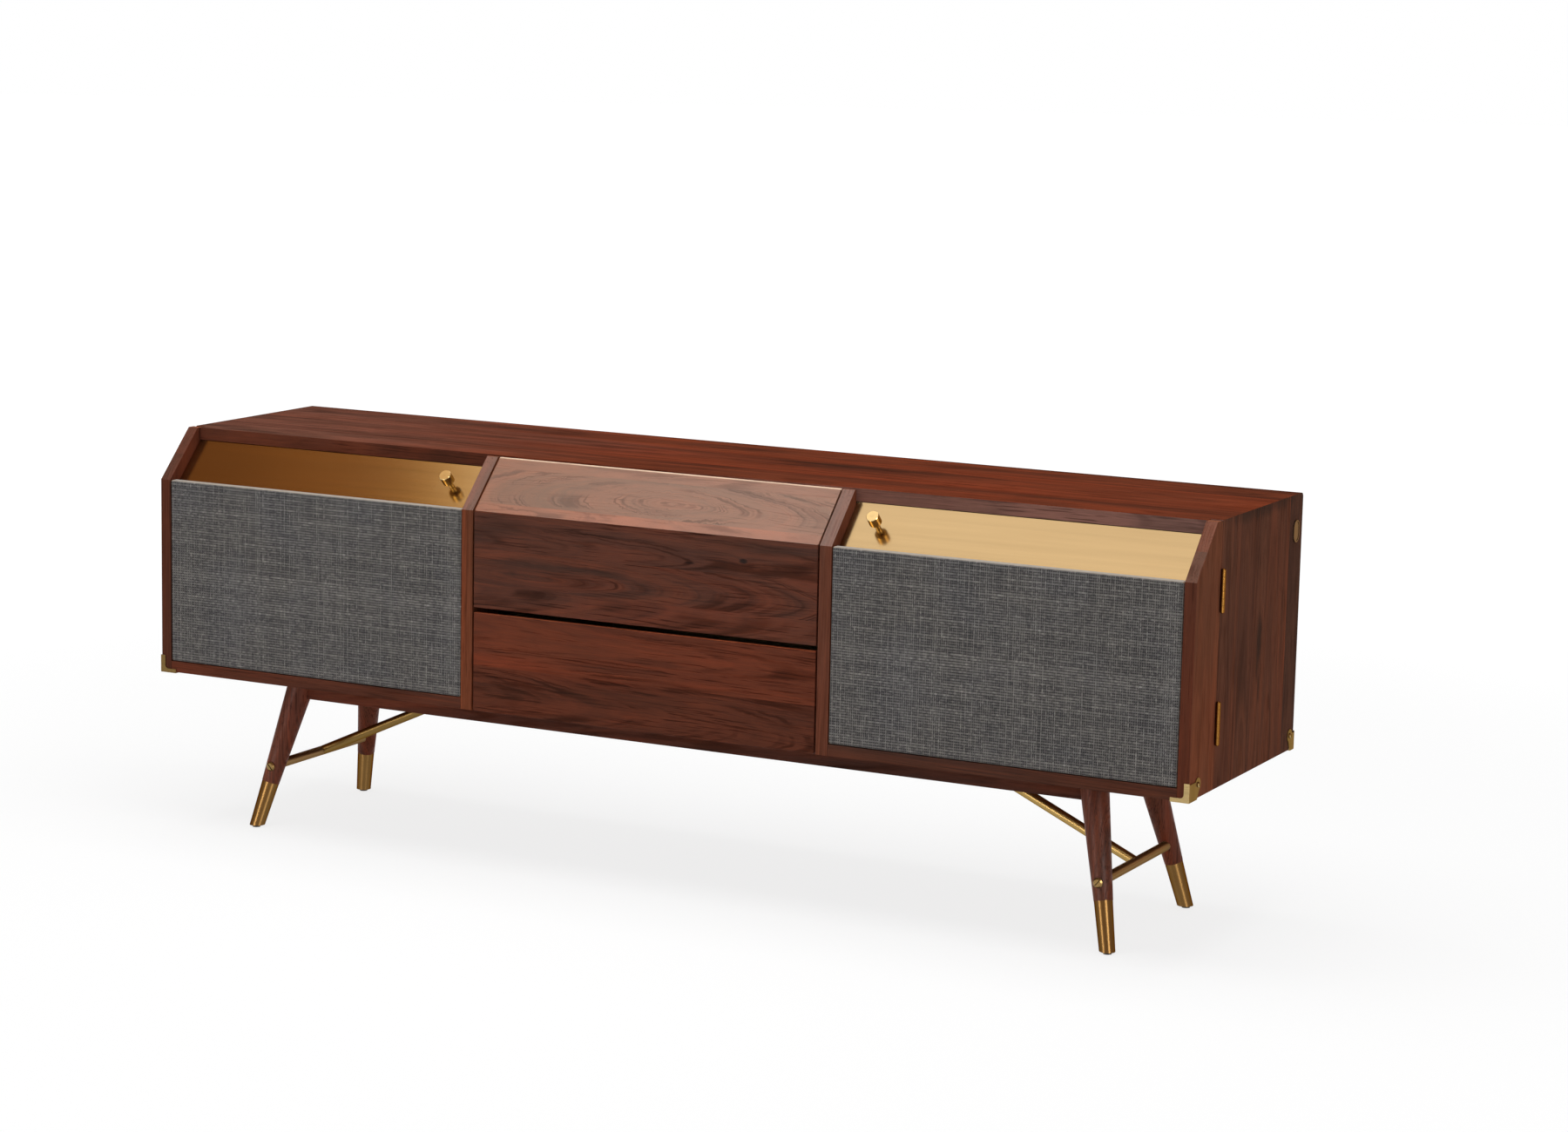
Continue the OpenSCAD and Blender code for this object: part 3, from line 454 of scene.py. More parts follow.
def add_floor():
    mesh = bpy.data.meshes.new("floor")
    shape = bmesh.new()
    bmesh.ops.create_circle(shape, cap_ends=True, radius=FLOOR_RADIUS, segments=96)
    shape.to_mesh(mesh)
    shape.free()
    floor = add_object("floor", mesh)
    g = material_graph("floor_paper")
    seen = g.sees_background()
    # rays that see the background get a white glow on dark paper, and bounced light pale paper
    grain = g.noise(g.place(), 9.0, 3.0)
    pale = g.mix(grain, (0.62, 0.62, 0.62, 1), (0.66, 0.66, 0.66, 1))
    paper = g.node("BsdfDiffuse", {"Color": g.mix(seen, pale, (0.22, 0.22, 0.22, 1))})
    x, y, _ = g.split(g.place())
    strength = g.range(g.length(x, y), 1.0, 4.5, FLOOR_GLOW, FAR_GLOW)
    glow = g.node("Emission", {"Color": WHITE, "Strength": g.mul(seen, strength)})
    both = g.node("AddShader", {0: paper.outputs[0], 1: glow.outputs[0]})
    g.node("OutputMaterial", {"Surface": both.outputs[0]})
    mesh.materials.append(g.owner)


def add_lights():
    key = add_area("key_softbox", (0.05, -0.35, 2.9), (0.05, -0.05, 0.5), (3.0, 2.2), 56)
    key.visible_glossy = False
    # these show only as reflections
    white, amber, orange = (1, 1, 1), (1, 0.69, 0.28), (1, 0.46, 0.13)
    reflected = (
        ("sheen_softbox", (0.0, -0.55, 2.9), (0.0, -0.55, 0), (3.42, 2.0), 32.5, white),
        ("amber_softbox", (-1.79, -0.55, 2.9), (-1.79, -0.55, 0), (0.16, 2.0), 1.0, amber),
        ("warm_softbox", (-2.10, -0.55, 2.9), (-2.10, -0.55, 0), (0.46, 2.0), 0.45, orange),
        ("rim_softbox", (-1.2, 2.3, 2.9), (-1.2, 2.3, 0), (4.6, 2.2), 48, white),
        ("strip_left", (-1.9, -4.4, 1.8), (0, 0, 0.5), (1.2, 3.6), 165, white),
        ("strip_right", (4.1, -2.5, 1.8), (0, 0, 0.5), (1.2, 3.6), 165, white),
        ("strip_back", (3.2, 5.6, 1.5), (0, 0, 0.4), (2.4, 1.4), 13, white),
    )
    for name, at, aim, size, watts, colour in reflected:
        add_area(name, at, aim, size, watts, colour).visible_diffuse = False
    add_area("fill_front", (-2.6, -4.2, 2.2), (0, 0, 0.4), (2.4, 1.8), 14).visible_glossy = False


add_camera()
add_world()
add_floor()
add_lights()


# ---------------------------------------------------------------- metals and plastics

# the radius at which the angle round a turned piece's centre is measured as a length
TURNED_RADIUS = 20 * MM


def brass(name, along, across, base=(0.385, 0.285, 0.143), rough=0.24, brushed=1.0, smudge=0.3,
          centre=None, spread=0.0, axis=Z, edge=(1, 1, 1), grime_and_shade_reach=4 * MM):
    """Brushed brass. The lines run along one direction, or round centre where it is given. A turned
    piece spreads what it reflects along its axis. edge is the tint at grazing angles."""
    g = material_graph(name)
    u, v, w = g.axes(along, across)
    if centre is not None:
        x, y = g.add(u, -centre[0]), g.add(v, -centre[1])
        u, v = g.mul(g.math("ARCTAN2", y, x), TURNED_RADIUS), g.length(x, y)
    lines = g.noise_at((u, 7.0), (v, 900.0), (w, 900.0), 3.0, 0.7)
    bands = g.noise_at((u, 2.2), (v, 90.0), (w, 90.0))
    cloud = g.noise_at((u, 9.0), (v, 22.0), (w, 22.0), 4.0, 0.6)
    marks = g.range(cloud, 0.56, 0.72, 0.0, smudge)
    value = g.add(g.swing(lines, 0.16 * brushed), g.swing(bands, 0.06 + 0.13 * brushed))
    value = g.add(g.add(value, g.mul(marks, 0.10)), 1.0)
    colour = g.tint([*base, 1], g.grey(value))
    tarnish = g.range(cloud, 0.48, 0.30, 0.0, 0.4 * smudge)
    colour = g.mix(tarnish, colour, g.tint(colour, (0.90, 0.80, 0.68, 1)))
    # grime and painted shade: the colour darkens to near black where the AO node finds the surface
    # enclosed, in crevices, slots and under parts
    grime_and_shade = g.node("AmbientOcclusion", {"Distance": grime_and_shade_reach}, samples=4).outputs["AO"]
    colour = g.mix(g.range(grime_and_shade, 0.75, 0.25, 0.0, 0.9), colour, (0.03, 0.018, 0.008, 1))
    roughness = g.add(g.add(g.swing(lines, 0.10 * brushed), rough), g.mul(marks, 0.12))
    bump = g.bump(lines, 0.00004, 0.35 * brushed)
    turned = {"Anisotropic": spread, "Tangent": g.vector(*axis)} if spread else {}
    return g.shade(Base_Color=colour, Metallic=1.0, Roughness=roughness, Normal=bump,
                   Specular_Tint=(*edge, 1), **turned)


def steel(name):
    g = material_graph(name)
    p = g.place()
    cloud = g.noise(p, 60.0, 3.0)
    fine = g.noise(p, 900.0)
    colour = g.ramp(cloud, [(0.3, (0.44, 0.45, 0.47, 1)), (0.7, (0.60, 0.61, 0.62, 1))])
    return g.shade(Base_Color=colour, Metallic=1.0, Roughness=g.mul_add(fine, 0.16, 0.26),
                   Normal=g.bump(fine, 0.00003, 0.3))


def plastic(name):
    g = material_graph(name)
    speckle = g.noise(g.place(), 1400.0)
    colour = g.mix(speckle, (0.022, 0.021, 0.021, 1), (0.035, 0.034, 0.034, 1))
    return g.shade(Base_Color=colour, Roughness=g.mul_add(speckle, 0.2, 0.4),
                   Normal=g.bump(speckle, 0.00008, 0.5))


# ---------------------------------------------------------------- finishes of the CAD pieces


def paint(material, *names):
    for name in names:
        data = nodes[name].data
        data.materials.clear()
        data.materials.append(material)
        for polygon in data.polygons:
            polygon.material_index = 0


def paint_faces(material, chosen, *names):
    """Gives the faces that chosen picks by their normal a material of their own."""
    for name in names:
        data = nodes[name].data
        data.materials.append(material)
        for polygon in data.polygons:
            if chosen(polygon.normal):
                polygon.material_index = len(data.materials) - 1


def soften(width, *names):
    """Rounds the arrises of CAD pieces, as sanding does."""
    for name in names:
        piece = nodes[name]
        weld = piece.modifiers.new("weld", "WELD")
        weld.merge_threshold = 1e-5
        bevel = piece.modifiers.new("arris", "BEVEL")
        bevel.width, bevel.segments = width, 3
        bevel.limit_method, bevel.angle_limit = "ANGLE", math.radians(28)
        bevel.harden_normals = True
        bevel.miter_outer = "MITER_ARC"


def both_sides(*names):
    return [f"{side}_{name}" for side, _ in SIDES for name in names]


SLOPE_RISE, SLOPE_RUN = 78 * MM, 76 * MM
SLOPE = math.atan2(SLOPE_RISE, SLOPE_RUN)
UP_SLOPE = (0, math.cos(SLOPE), math.sin(SLOPE))
# a point on the slope's lower edge, and where that edge lies on the wood's up-slope coordinate
KNEE = (0, -0.220, 0.576)
knee = KNEE[1] * UP_SLOPE[1] + KNEE[2] * UP_SLOPE[2]

# how far the blocks of wood reach from front to back, and where the top's, sides' and stiles' differ
FRONT, BACK = -0.221, 0.221
TOP_FRONT, SIDE_FRONT, STILE_BACK = -0.138, -0.123, -0.12
# the planes of the drawers' fronts and of the sides
FACE_Y, SIDE_X = -0.22, 0.9
# the knobs' axes on the slope, from the cabinet's middle and from the knee
KNOB_X, KNOB_UP = 0.3738, 0.05445
# the way that a brace runs, inwards and up
BRACE_RUN, BRACE_RISE = 0.91, 0.41


def facing(direction, least):
    """Picks the faces that look along a direction, by how far their normal reaches that way."""
    return lambda normal: normal.dot(Vector(direction)) > least


def is_slope(normal):
    return normal.z > 0.4 and normal.y < -0.4


def along_slope(normal):
    return abs(normal.dot(Vector(square_to(X, UP_SLOPE)))) < 0.35


def faces_sideways(normal):
    return abs(normal.x) > 0.8


faces_front = facing((0, -1, 0), 0.9)

# the top, and its front edge

paint(walnut(
    "walnut_top", X, Y,
    [Stave(TOP_FRONT, tone=0.02, heart=0.2, deep=0.09, rise=0.012, red=0.10),
     Stave(-0.060, tone=0.03, heart=0.6, deep=0.05, rise=0.018, peak=0.5, red=0.12),
     Stave(0.118, tone=0.02, heart=0.4, deep=0.06, rise=0.015, peak=-0.6, red=0.08)],
    BACK, face=(0, 0, 0.654), light=0.84, waves=0.5, contrast=0.8, patch=0.4, streaks=1.8, seed=1,
    rough=0.5, shine=0.0, cast=(1.06, 0.93, 0.84), painted_haze=(-0.05, -0.95, 0.8, 1.16),
    stains=((-0.25, 0.080, 0.42, 0.013, 0.45), (0.28, 0.072, 0.26, 0.014, 0.75),
            (0.0, -0.055, 0.22, 0.010, 0.45), (0.62, -0.062, 0.30, 0.010, 0.4)),
), "top_panel")
paint_faces(walnut(
    "walnut_top_edge", X, Z, [Stave(0.62, deep=0.05, red=0.04)], 0.67, face=(0, -0.14, 0),
    waves=0.4, contrast=0.45, patch=0.4, streaks=1.6, seed=9, shine=0.0, cast=(1.10, 1.12, 1.18),
    painted_haze=(0.0, 1.0, 1.0, 1.9), stains=((-0.42, 0.644, 0.13, 0.03, 0.9),),
), faces_front, "top_panel")

# the sides

side_staves = [
    Stave(SIDE_FRONT, tone=-0.05, heart=0.4, deep=0.06),
    Stave(-0.066, heart=0.7, deep=0.04, rise=0.03, peak=0.4, red=0.03),
    Stave(0.008, tone=-0.05, heart=0.8, deep=0.02, rise=0.05, peak=0.45),
    Stave(0.068, heart=0.3, deep=0.05, rise=0.02, red=0.08),
    Stave(0.164, tone=-0.16, heart=0.5, deep=0.08, red=-0.12),
]
# cast lifts the sides lighter and greyer: partly the wood's own tone, partly painted sheen in place
# of a haze of reflection, as shine is 0
side_look = dict(patch=0.35, cast=(1.44, 1.86, 2.08), rough=0.5, shine=0.0)
paint(walnut(
    "walnut_right_side", Z, Y, side_staves, BACK, face=(SIDE_X, 0, 0), seed=2, waves=0.6,
    contrast=0.6, streaks=1.6, **side_look,
    stains=((0.432, 0.052, 0.075, 0.016, 0.95), (0.432, 0.052, 0.060, 0.010, 0.9),
            (0.60, 0.030, 0.07, 0.010, 0.35), (0.656, 0.030, 0.020, 0.17, 0.8)),
), "right_side_panel")
paint(walnut(
    "walnut_left_side", Z, Y, side_staves, BACK, face=(-SIDE_X, 0, 0), seed=5, waves=0.7,
    contrast=0.5, **side_look,
), "left_side_panel")

# the drawers' fronts and the slope above them, whose upper edge gets a painted highlight

slope_points = [point.co for point in nodes["upper_drawer_slope"].data.vertices]
slope_normal = Vector(square_to(X, UP_SLOPE))
outermost = max(point.dot(slope_normal) for point in slope_points)
slope_top = max(point.dot(Vector(UP_SLOPE)) for point in slope_points
                if outermost - point.dot(slope_normal) < 0.2 * MM)
paint(walnut(
    "walnut_slope", X, UP_SLOPE,
    [Stave(knee - 0.02, tone=0.12, heart=0.4, deep=0.03, rise=0.06, peak=-0.5, red=0.16),
     Stave(knee + 0.017, tone=0.06, heart=0.36, deep=0.004, rise=0.22, peak=0.045, figure=1.2,
           red=-0.16),
     Stave(knee + 0.086, tone=0.10, heart=0.4, deep=0.05, rise=0.03, red=0.06)],
    # light and cast make the slope paler and greyer than the other faces: partly its wood, partly
    # painted sheen
    knee + 0.13, face=KNEE, light=1.2, waves=1.5, jag=1.5, contrast=0.33, patch=0.5, lines=1.35,
    streaks=0.7, seed=3, rough=0.38, shine=1.0, coat=0.45, cast=(1.36, 1.78, 1.78),
    tint=(1, 0.84, 0.70), highlight_edge=slope_top,
    stains=((-0.25, knee + 0.055, 0.06, 0.020, 0.14), (-0.12, knee + 0.050, 0.05, 0.020, 0.14)),
), "upper_drawer_slope")
paint(walnut(
    "walnut_upper_front", X, Z,
    [Stave(0.420, heart=0.9, deep=0.05, rise=0.05, peak=-0.4),
     Stave(0.460, heart=0.45, deep=0.003, rise=0.12, peak=-0.16, figure=1.2),
     Stave(0.517, tone=-0.02, heart=0.2, deep=0.05, rise=0.03, peak=0.5)],
    0.58, face=(0, FACE_Y, 0), waves=0.9, jag=0.4, contrast=0.62, patch=0.5, streaks=1.8,
    lines=1.5, seed=4, shine=0.05,
    knots=((0.175, 0.540, 0.008, 0.0045, 0.9), (0.083, 0.529, 0.010, 0.0015, 0.8)),
    stains=((-0.27, 0.552, 0.06, 0.022, 0.55), (-0.17, 0.494, 0.11, 0.021, 0.6),
            (0.22, 0.560, 0.07, 0.012, 0.4), (-0.05, 0.502, 0.035, 0.012, 0.4),
            (0.13, 0.470, 0.06, 0.010, 0.3)),
), "upper_drawer_front")
paint(walnut(
    "walnut_lower_front", X, Z,
    [Stave(0.257, tone=-0.08, heart=0.3, deep=0.04, rise=0.06, peak=-0.28, figure=0.6),
     Stave(0.331, tone=0.07, heart=0.55, deep=0.05, rise=0.02, peak=0.1, red=0.06)],
    0.416, face=(0, FACE_Y, 0), waves=0.8, jag=0.5, contrast=0.5, patch=0.5, streaks=1.8,
    lines=1.5, seed=6, shine=0.03, cast=(1.24, 1.06, 0.95),
    stains=((-0.07, 0.302, 0.15, 0.026, 0.45), (-0.25, 0.300, 0.05, 0.02, 0.3),
            (0.02, 0.366, 0.06, 0.006, 0.5)),
), "lower_drawer_front")
# painted light: the lower drawer front's upward faces, in the gap under the upper drawer, are
# painted much lighter in place of light falling into the gap
paint_faces(walnut(
    "walnut_front_edge_painted_light", X, Y, [Stave(FRONT, tone=0.3, deep=0.05, red=0.1)], -0.2,
    face=(0, 0, 0.415), seed=10, shine=0.0, cast=(1.8, 1.8, 1.7),
), facing(Z, 0.9), "lower_drawer_front")

# the doors' stiles and rails, which the photo's light tints differently left and right


def stile_wood(side, part, staves, **look):
    face = (dict(SIDES)[side] * SIDE_X, 0, 0)
    quiet = dict(face=face, waves=0.5, contrast=0.4, patch=0.4, rough=0.5)
    return walnut(f"walnut_{side}_{part}", Z, Y, staves, STILE_BACK, **quiet, **look)


for side, sign in SIDES:
    right = sign > 0
    outer, inner = f"{side}_door_outer_stile", f"{side}_door_inner_stile"
    # the outer stile's cast lifts it lighter and greyer, as on the sides: partly the wood's tone,
    # partly painted sheen
    paint(stile_wood(side, "outer_stile", [
        Stave(FRONT, tone=0.08, heart=0.6, deep=0.05, red=0.10),
        Stave(-0.182, tone=0.11, heart=0.3, deep=0.07, rise=0.012, red=0.03),
    ], seed=7 + sign, shine=0.0, cast=(1.50, 1.92, 2.02)), outer)
    paint_faces(stile_wood(side, "stile_front", [Stave(FRONT, deep=0.05, red=0.04)],
                           seed=7 + sign, shine=0.02), faces_front, outer)
    paint_faces(stile_wood(side, "stile_slope", [
        Stave(FRONT, tone=-0.10, red=-0.05),
        Stave(-0.182, tone=0.06, heart=0.3, deep=0.07),
    ], seed=7 + sign, shine=0.5, tint=(1, 0.8, 0.64),
        cast=(1.19, 0.94, 0.71) if right else (0.76, 0.55, 0.43)), is_slope, outer)
    paint_faces(stile_wood(side, "stile_reveal", [Stave(FRONT, tone=-0.12, red=0.06)],
                           seed=7 + sign, shine=0.0), facing((-sign, 0, 0), 0.8), outer)
    paint(stile_wood(side, "inner_stile", [Stave(FRONT, tone=0.14, deep=0.05, red=0.10)],
                     seed=11 + sign, shine=0.03,
                     cast=(1.08, 1.35, 1.50) if right else (1.28, 1.38, 1.21)), inner)
    paint_faces(stile_wood(side, "inner_slope", [Stave(FRONT, tone=-0.04, red=-0.2)],
                           seed=11 + sign, shine=1.0, coat=0.40, cast=(1.6, 1.3, 1.05),
                           tint=(1, 0.88, 0.78)), is_slope, inner)
    paint(walnut(
        f"walnut_{side}_rail", X, Y, [Stave(FRONT, tone=-0.03, deep=0.05, red=0.04)], STILE_BACK,
        seed=14 + sign, waves=0.6, contrast=0.6, patch=0.6, shine=0.03,
        cast=(0.80, 0.95, 1.05) if right else None,
    ), f"{side}_door_bottom_rail")

# the rest of the body

paint(walnut(
    "walnut_bottom", X, Y,
    [Stave(FRONT, tone=-0.04, deep=0.05), Stave(-0.09, tone=-0.02, heart=0.7),
     Stave(0.04, tone=-0.06, heart=0.4), Stave(0.13)],
    BACK, face=(0, 0, 0.258), seed=17, waves=0.7, contrast=0.7, shine=0.04, cast=(1.98, 1.78, 1.44),
), "bottom_panel")
paint(walnut(
    "walnut_apron", X, Z, [Stave(0.20, tone=-0.03, deep=0.05, red=0.02)], 0.27,
    face=(0, -0.11, 0), seed=18, waves=0.7, contrast=0.7, shine=0.05,
), "front_apron", "back_apron")
paint(walnut(
    "walnut_leg", Z, X, [Stave(-1.0, tone=0.03, heart=0.54, deep=0.07, rise=0.03, red=0.05)], 1.0,
    seed=19, waves=0.6, contrast=0.8, patch=0.6, streaks=1.6, shine=0.14, cast=(1.5, 1.36, 1.2),
), "front_left_leg", "front_right_leg", "back_left_leg", "back_right_leg")

inside = dict(colours=DARK_WALNUT, shine=0.15)
paint(walnut(
    "walnut_back", X, Z,
    [Stave(0.25, heart=0.5, deep=0.02, rise=0.10, peak=0.3),
     Stave(0.455, heart=0.45, deep=0.02, rise=0.08, peak=-0.5)],
    0.66, face=(0, 0.217, 0), seed=21, **inside,
), "back_panel")
paint(walnut(
    "walnut_shelf", X, Y, [Stave(FRONT), Stave(-0.02, heart=0.6), Stave(0.12, heart=0.3)], BACK,
    face=(0, 0, 0.464), seed=22, **inside,
), *both_sides("shelf"))
paint(walnut(
    "walnut_partition", Z, Y, [Stave(FRONT), Stave(-0.05, heart=0.6), Stave(0.09, heart=0.3)], BACK,
    face=(0.32, 0, 0), seed=23, **inside,
), *both_sides("partition"))

for drawer, seed in (("upper", 31), ("lower", 33)):
    paint(pale_wood(f"pale_{drawer}_side", Y, Z, seed), f"{drawer}_drawer_sides")
    paint(pale_wood(f"pale_{drawer}_cross", X, Z, seed + 0.4),
          f"{drawer}_drawer_back", f"{drawer}_drawer_bottom")

# brass, steel and plastic

HINGE_BRASS = dict(base=(0.24, 0.11, 0.023), rough=0.26, edge=(0.55, 0.32, 0.10))
GUARD_BRASS, GUARD_BRASS_IN_SHADE = (0.36, 0.26, 0.115), (0.16, 0.10, 0.035)
BRACE_BRASS, BRACE_BRASS_IN_SHADE = (0.44, 0.29, 0.10), (0.21, 0.13, 0.042)
PLATE_EDGE, BAR_EDGE = (0.6, 0.45, 0.3), (0.4, 0.3, 0.2)

paint(brass("brass_sheet", X, UP_SLOPE, brushed=0.3, smudge=0.15, rough=0.17),
      *both_sides("door_brass_panel"))
for side, sign in SIDES:
    right = sign > 0
    knob, brace_way = f"{side}_door_knob", (-sign * BRACE_RUN, 0, BRACE_RISE)
    paint(brass(f"brass_{side}_knob", X, UP_SLOPE, base=(0.56, 0.42, 0.19), rough=0.24,
                brushed=0.6, centre=(sign * KNOB_X, knee + KNOB_UP)), knob)
    # painted shade: the knob's round side gets a darker copy of the knob's brass, in place of the
    # darker surroundings that it reflects
    paint_faces(brass(f"brass_{side}_knob_side_painted_shade", UP_SLOPE, X, base=(0.40, 0.25, 0.09), rough=0.3,
                      edge=(0.45, 0.32, 0.16)), along_slope, knob)
    paint(brass(f"brass_{side}_hinges", Z, X, **HINGE_BRASS), f"{side}_door_hinge_leaves")
    paint(brass(f"brass_{side}_guard", X, Z, rough=0.3,
                base=GUARD_BRASS if right else GUARD_BRASS_IN_SHADE), f"{side}_door_corner_guard")
    paint(brass(f"brass_{side}_brace", brace_way, Y, rough=0.36, brushed=0.15, spread=0.8,
                base=BRACE_BRASS if right else BRACE_BRASS_IN_SHADE, edge=BAR_EDGE,
                axis=brace_way), f"{side}_brace")
paint(brass("brass_hinge_parts", Z, X, **HINGE_BRASS), "hinge_frame_leaves", "hinge_pins")
paint(brass("brass_back_guards", X, Z, base=GUARD_BRASS, rough=0.3), "back_corner_guards")
# painted shade: the guards' sideways plates get a darker copy of the guards' brass
paint_faces(brass("brass_side_plates_painted_shade", Z, Y, base=(0.25, 0.17, 0.085), rough=0.34,
                  edge=PLATE_EDGE),
            faces_sideways, *both_sides("door_corner_guard"), "back_corner_guards")
paint(brass("brass_ferrule", Z, X, base=(0.22, 0.122, 0.040), rough=0.42, brushed=0.2, spread=0.9,
            edge=(0.3, 0.2, 0.1)), "leg_ferrules")
paint(brass("brass_bar", Y, Z, base=(0.25, 0.155, 0.072), rough=0.42, brushed=0.25, spread=0.85,
            axis=Y, edge=BAR_EDGE), *both_sides("cross_bar"))
paint(brass("brass_brace_flange", X, Y, base=(0.36, 0.22, 0.085), rough=0.3), "brace_flanges")
paint(brass("brass_screw", X, Z, base=(0.24, 0.15, 0.055), rough=0.3, grime_and_shade_reach=9 * MM),
      "cross_bar_screws")
paint(brass("brass_plaque", Z, Y, base=(0.21, 0.14, 0.10), rough=0.34, edge=PLATE_EDGE),
      "side_plaque")
paint(steel("zinc_steel"), "leg_bolts", "shelf_pins", *both_sides("door_strike_plates"),
      "drawer_rails", "upper_drawer_slides", "lower_drawer_slides", "door_magnets")
paint(plastic("glide_plastic"), "leg_glides")

soften(1.2 * MM, "top_panel", *both_sides("side_panel"), "front_apron", "back_apron")
soften(2.0 * MM, "upper_drawer_slope", "lower_drawer_front")
soften(1.0 * MM, "upper_drawer_front", "bottom_panel", *both_sides(
    "door_outer_stile", "door_inner_stile", "door_bottom_rail", "shelf", "partition"))


# ---------------------------------------------------------------- woven cloth panels

WARP, WEFT = 3.47 * MM, 4.13 * MM
CLOTH_ROUND, CLOTH_BACK = 2.6 * MM, 1.2 * MM
RELIEF = 0.35 * MM
# how far uneven yarn pulls a thread aside, in the two directions
DRIFT_ACROSS, DRIFT_UP = 0.5 * MM, 0.6 * MM
# how far behind the panel's front plane the cloth lies, and how far it waves there
SET_BACK, SAG = 0.3 * MM, 0.25 * MM
# the wooden frame's distance from the panel's edges, front and back, and the bar's from its front
FRAME_INSET, FRAME_FRONT, FRAME_BACK, BAR_FRONT = 0.5 * MM, 1.1 * MM, 0.2 * MM, 3 * MM
FRAME_WIDE, BAR_HALF = 34 * MM, 15 * MM


def thread(g, count, number, key, run, fleck, width, lift):
    """Where one set of parallel threads covers the cloth, and the shade that it has there.

    count is a point's place in threads and number the nearest thread's. key tells the threads
    apart, and run and fleck are noises that run along them."""
    # 0 in the thread's middle and 1 half way to the next
    off = g.mul(g.math("ABSOLUTE", g.math("SUBTRACT", count, number)), 2.0)
    own = g.node("TexWhiteNoise", {"W": key}, noise_dimensions="1D").outputs["Value"]
    wide = g.add(width, g.add(g.swing(run, 0.22), g.swing(own, 0.07)))
    mask = g.math("SUBTRACT", 1.0, g.range(off, wide, g.add(wide, 0.22), kind="LINEAR"))
    shade = g.add(g.add(g.swing(own, 0.09), g.swing(run, 0.22)), g.mul_add(fleck, 0.9, lift))
    return mask, shade


def cloth_material(name):
    g = material_graph(name)
    s, t, _ = g.split(g.node("Attribute", attribute_name="weave").outputs["Vector"])
    slub = g.noise_at((s, 25.0), (t, 25.0), 0.0)
    s = g.add(s, g.swing(slub, DRIFT_ACROSS))
    t = g.add(t, g.swing(g.noise_at((s, 21.0), (t, 30.0), 5.0), DRIFT_UP))
    column, row = g.math("DIVIDE", s, WARP), g.math("DIVIDE", t, WEFT)
    warp_id, weft_id = g.math("ROUND", column), g.math("ROUND", row)
    warp_mask, warp_shade = thread(
        g, column, warp_id, warp_id, g.noise_at((warp_id, 3.7), (t, 34.0), 1.0, 3.0, 0.6),
        g.noise_at((warp_id, 3.7), (t, 150.0), 21.0), 0.36, 0.05)
    weft_mask, weft_shade = thread(
        g, row, weft_id, g.add(weft_id, 0.37), g.noise_at((s, 34.0), (weft_id, 3.7), 9.0, 3.0, 0.6),
        g.noise_at((s, 150.0), (weft_id, 3.7), 29.0), 0.44, 0.03)
    # where both cover a point, they take turns at lying on top
    weft_on_top = g.math("PINGPONG", g.add(warp_id, weft_id), 1.0)
    crossed = g.mix(weft_on_top, g.grey(warp_shade), g.grey(weft_shade))
    warp_shows = g.math("GREATER_THAN", warp_mask, weft_mask)
    single = g.mix(warp_shows, g.grey(weft_shade), g.grey(warp_shade))
    shade = g.mix(g.mul(warp_mask, weft_mask), single, crossed)
    twist = g.noise_at((g.add(s, t), 900.0), (g.math("SUBTRACT", s, t), 160.0), 2.0)
    shade = g.add(g.dot(shade, (1 / 3, 1 / 3, 1 / 3)), g.swing(twist, 0.16))
    yarn = g.ramp(shade, [(0.0, linear(54, 54, 59)), (0.35, linear(96, 93, 91)),
                          (0.65, linear(138, 133, 128)), (1.0, linear(190, 184, 176))])
    hue = g.noise_at((s, 9.0), (t, 11.0), 4.0, 3.0)
    yarn = g.mix(g.range(hue, 0.4, 0.7, 0.0, 0.35), yarn, g.tint(yarn, (0.90, 0.95, 1.08, 1)))
    cover = g.math("MAXIMUM", warp_mask, weft_mask)
    gap = g.mix(slub, linear(24, 24, 28), linear(38, 37, 41))
    colour = g.mix(cover, gap, yarn)
    # painted light: faces that look up, as the fold along the upper edge does, are painted paler, as
    # if lit from above
    upward = g.split(g.node("NewGeometry").outputs["Normal"])[2]
    colour = g.mix(g.range(upward, 0.40, 0.90, 0.0, 0.75), colour, linear(178, 168, 156))
    height = g.add(g.mul(cover, 0.6), g.mul(g.add(shade, g.mul(twist, 0.5)), 0.3))
    return g.shade(Base_Color=colour, Roughness=0.92, Specular_IOR_Level=0.15, Sheen_Weight=0.15,
                   Sheen_Roughness=0.5, Normal=g.bump(height, 0.0006, 0.7))


def clean(mesh):
    """Joins points that coincide, and removes what has no area."""
    shape = bmesh.new()
    shape.from_mesh(mesh)
    bmesh.ops.remove_doubles(shape, verts=shape.verts, dist=1e-6)
    bmesh.ops.dissolve_degenerate(shape, edges=shape.edges, dist=1e-6)
    loose = [v for v in shape.verts if not v.link_faces]
    bmesh.ops.delete(shape, geom=loose, context="VERTS")
    shape.to_mesh(mesh)
    shape.free()


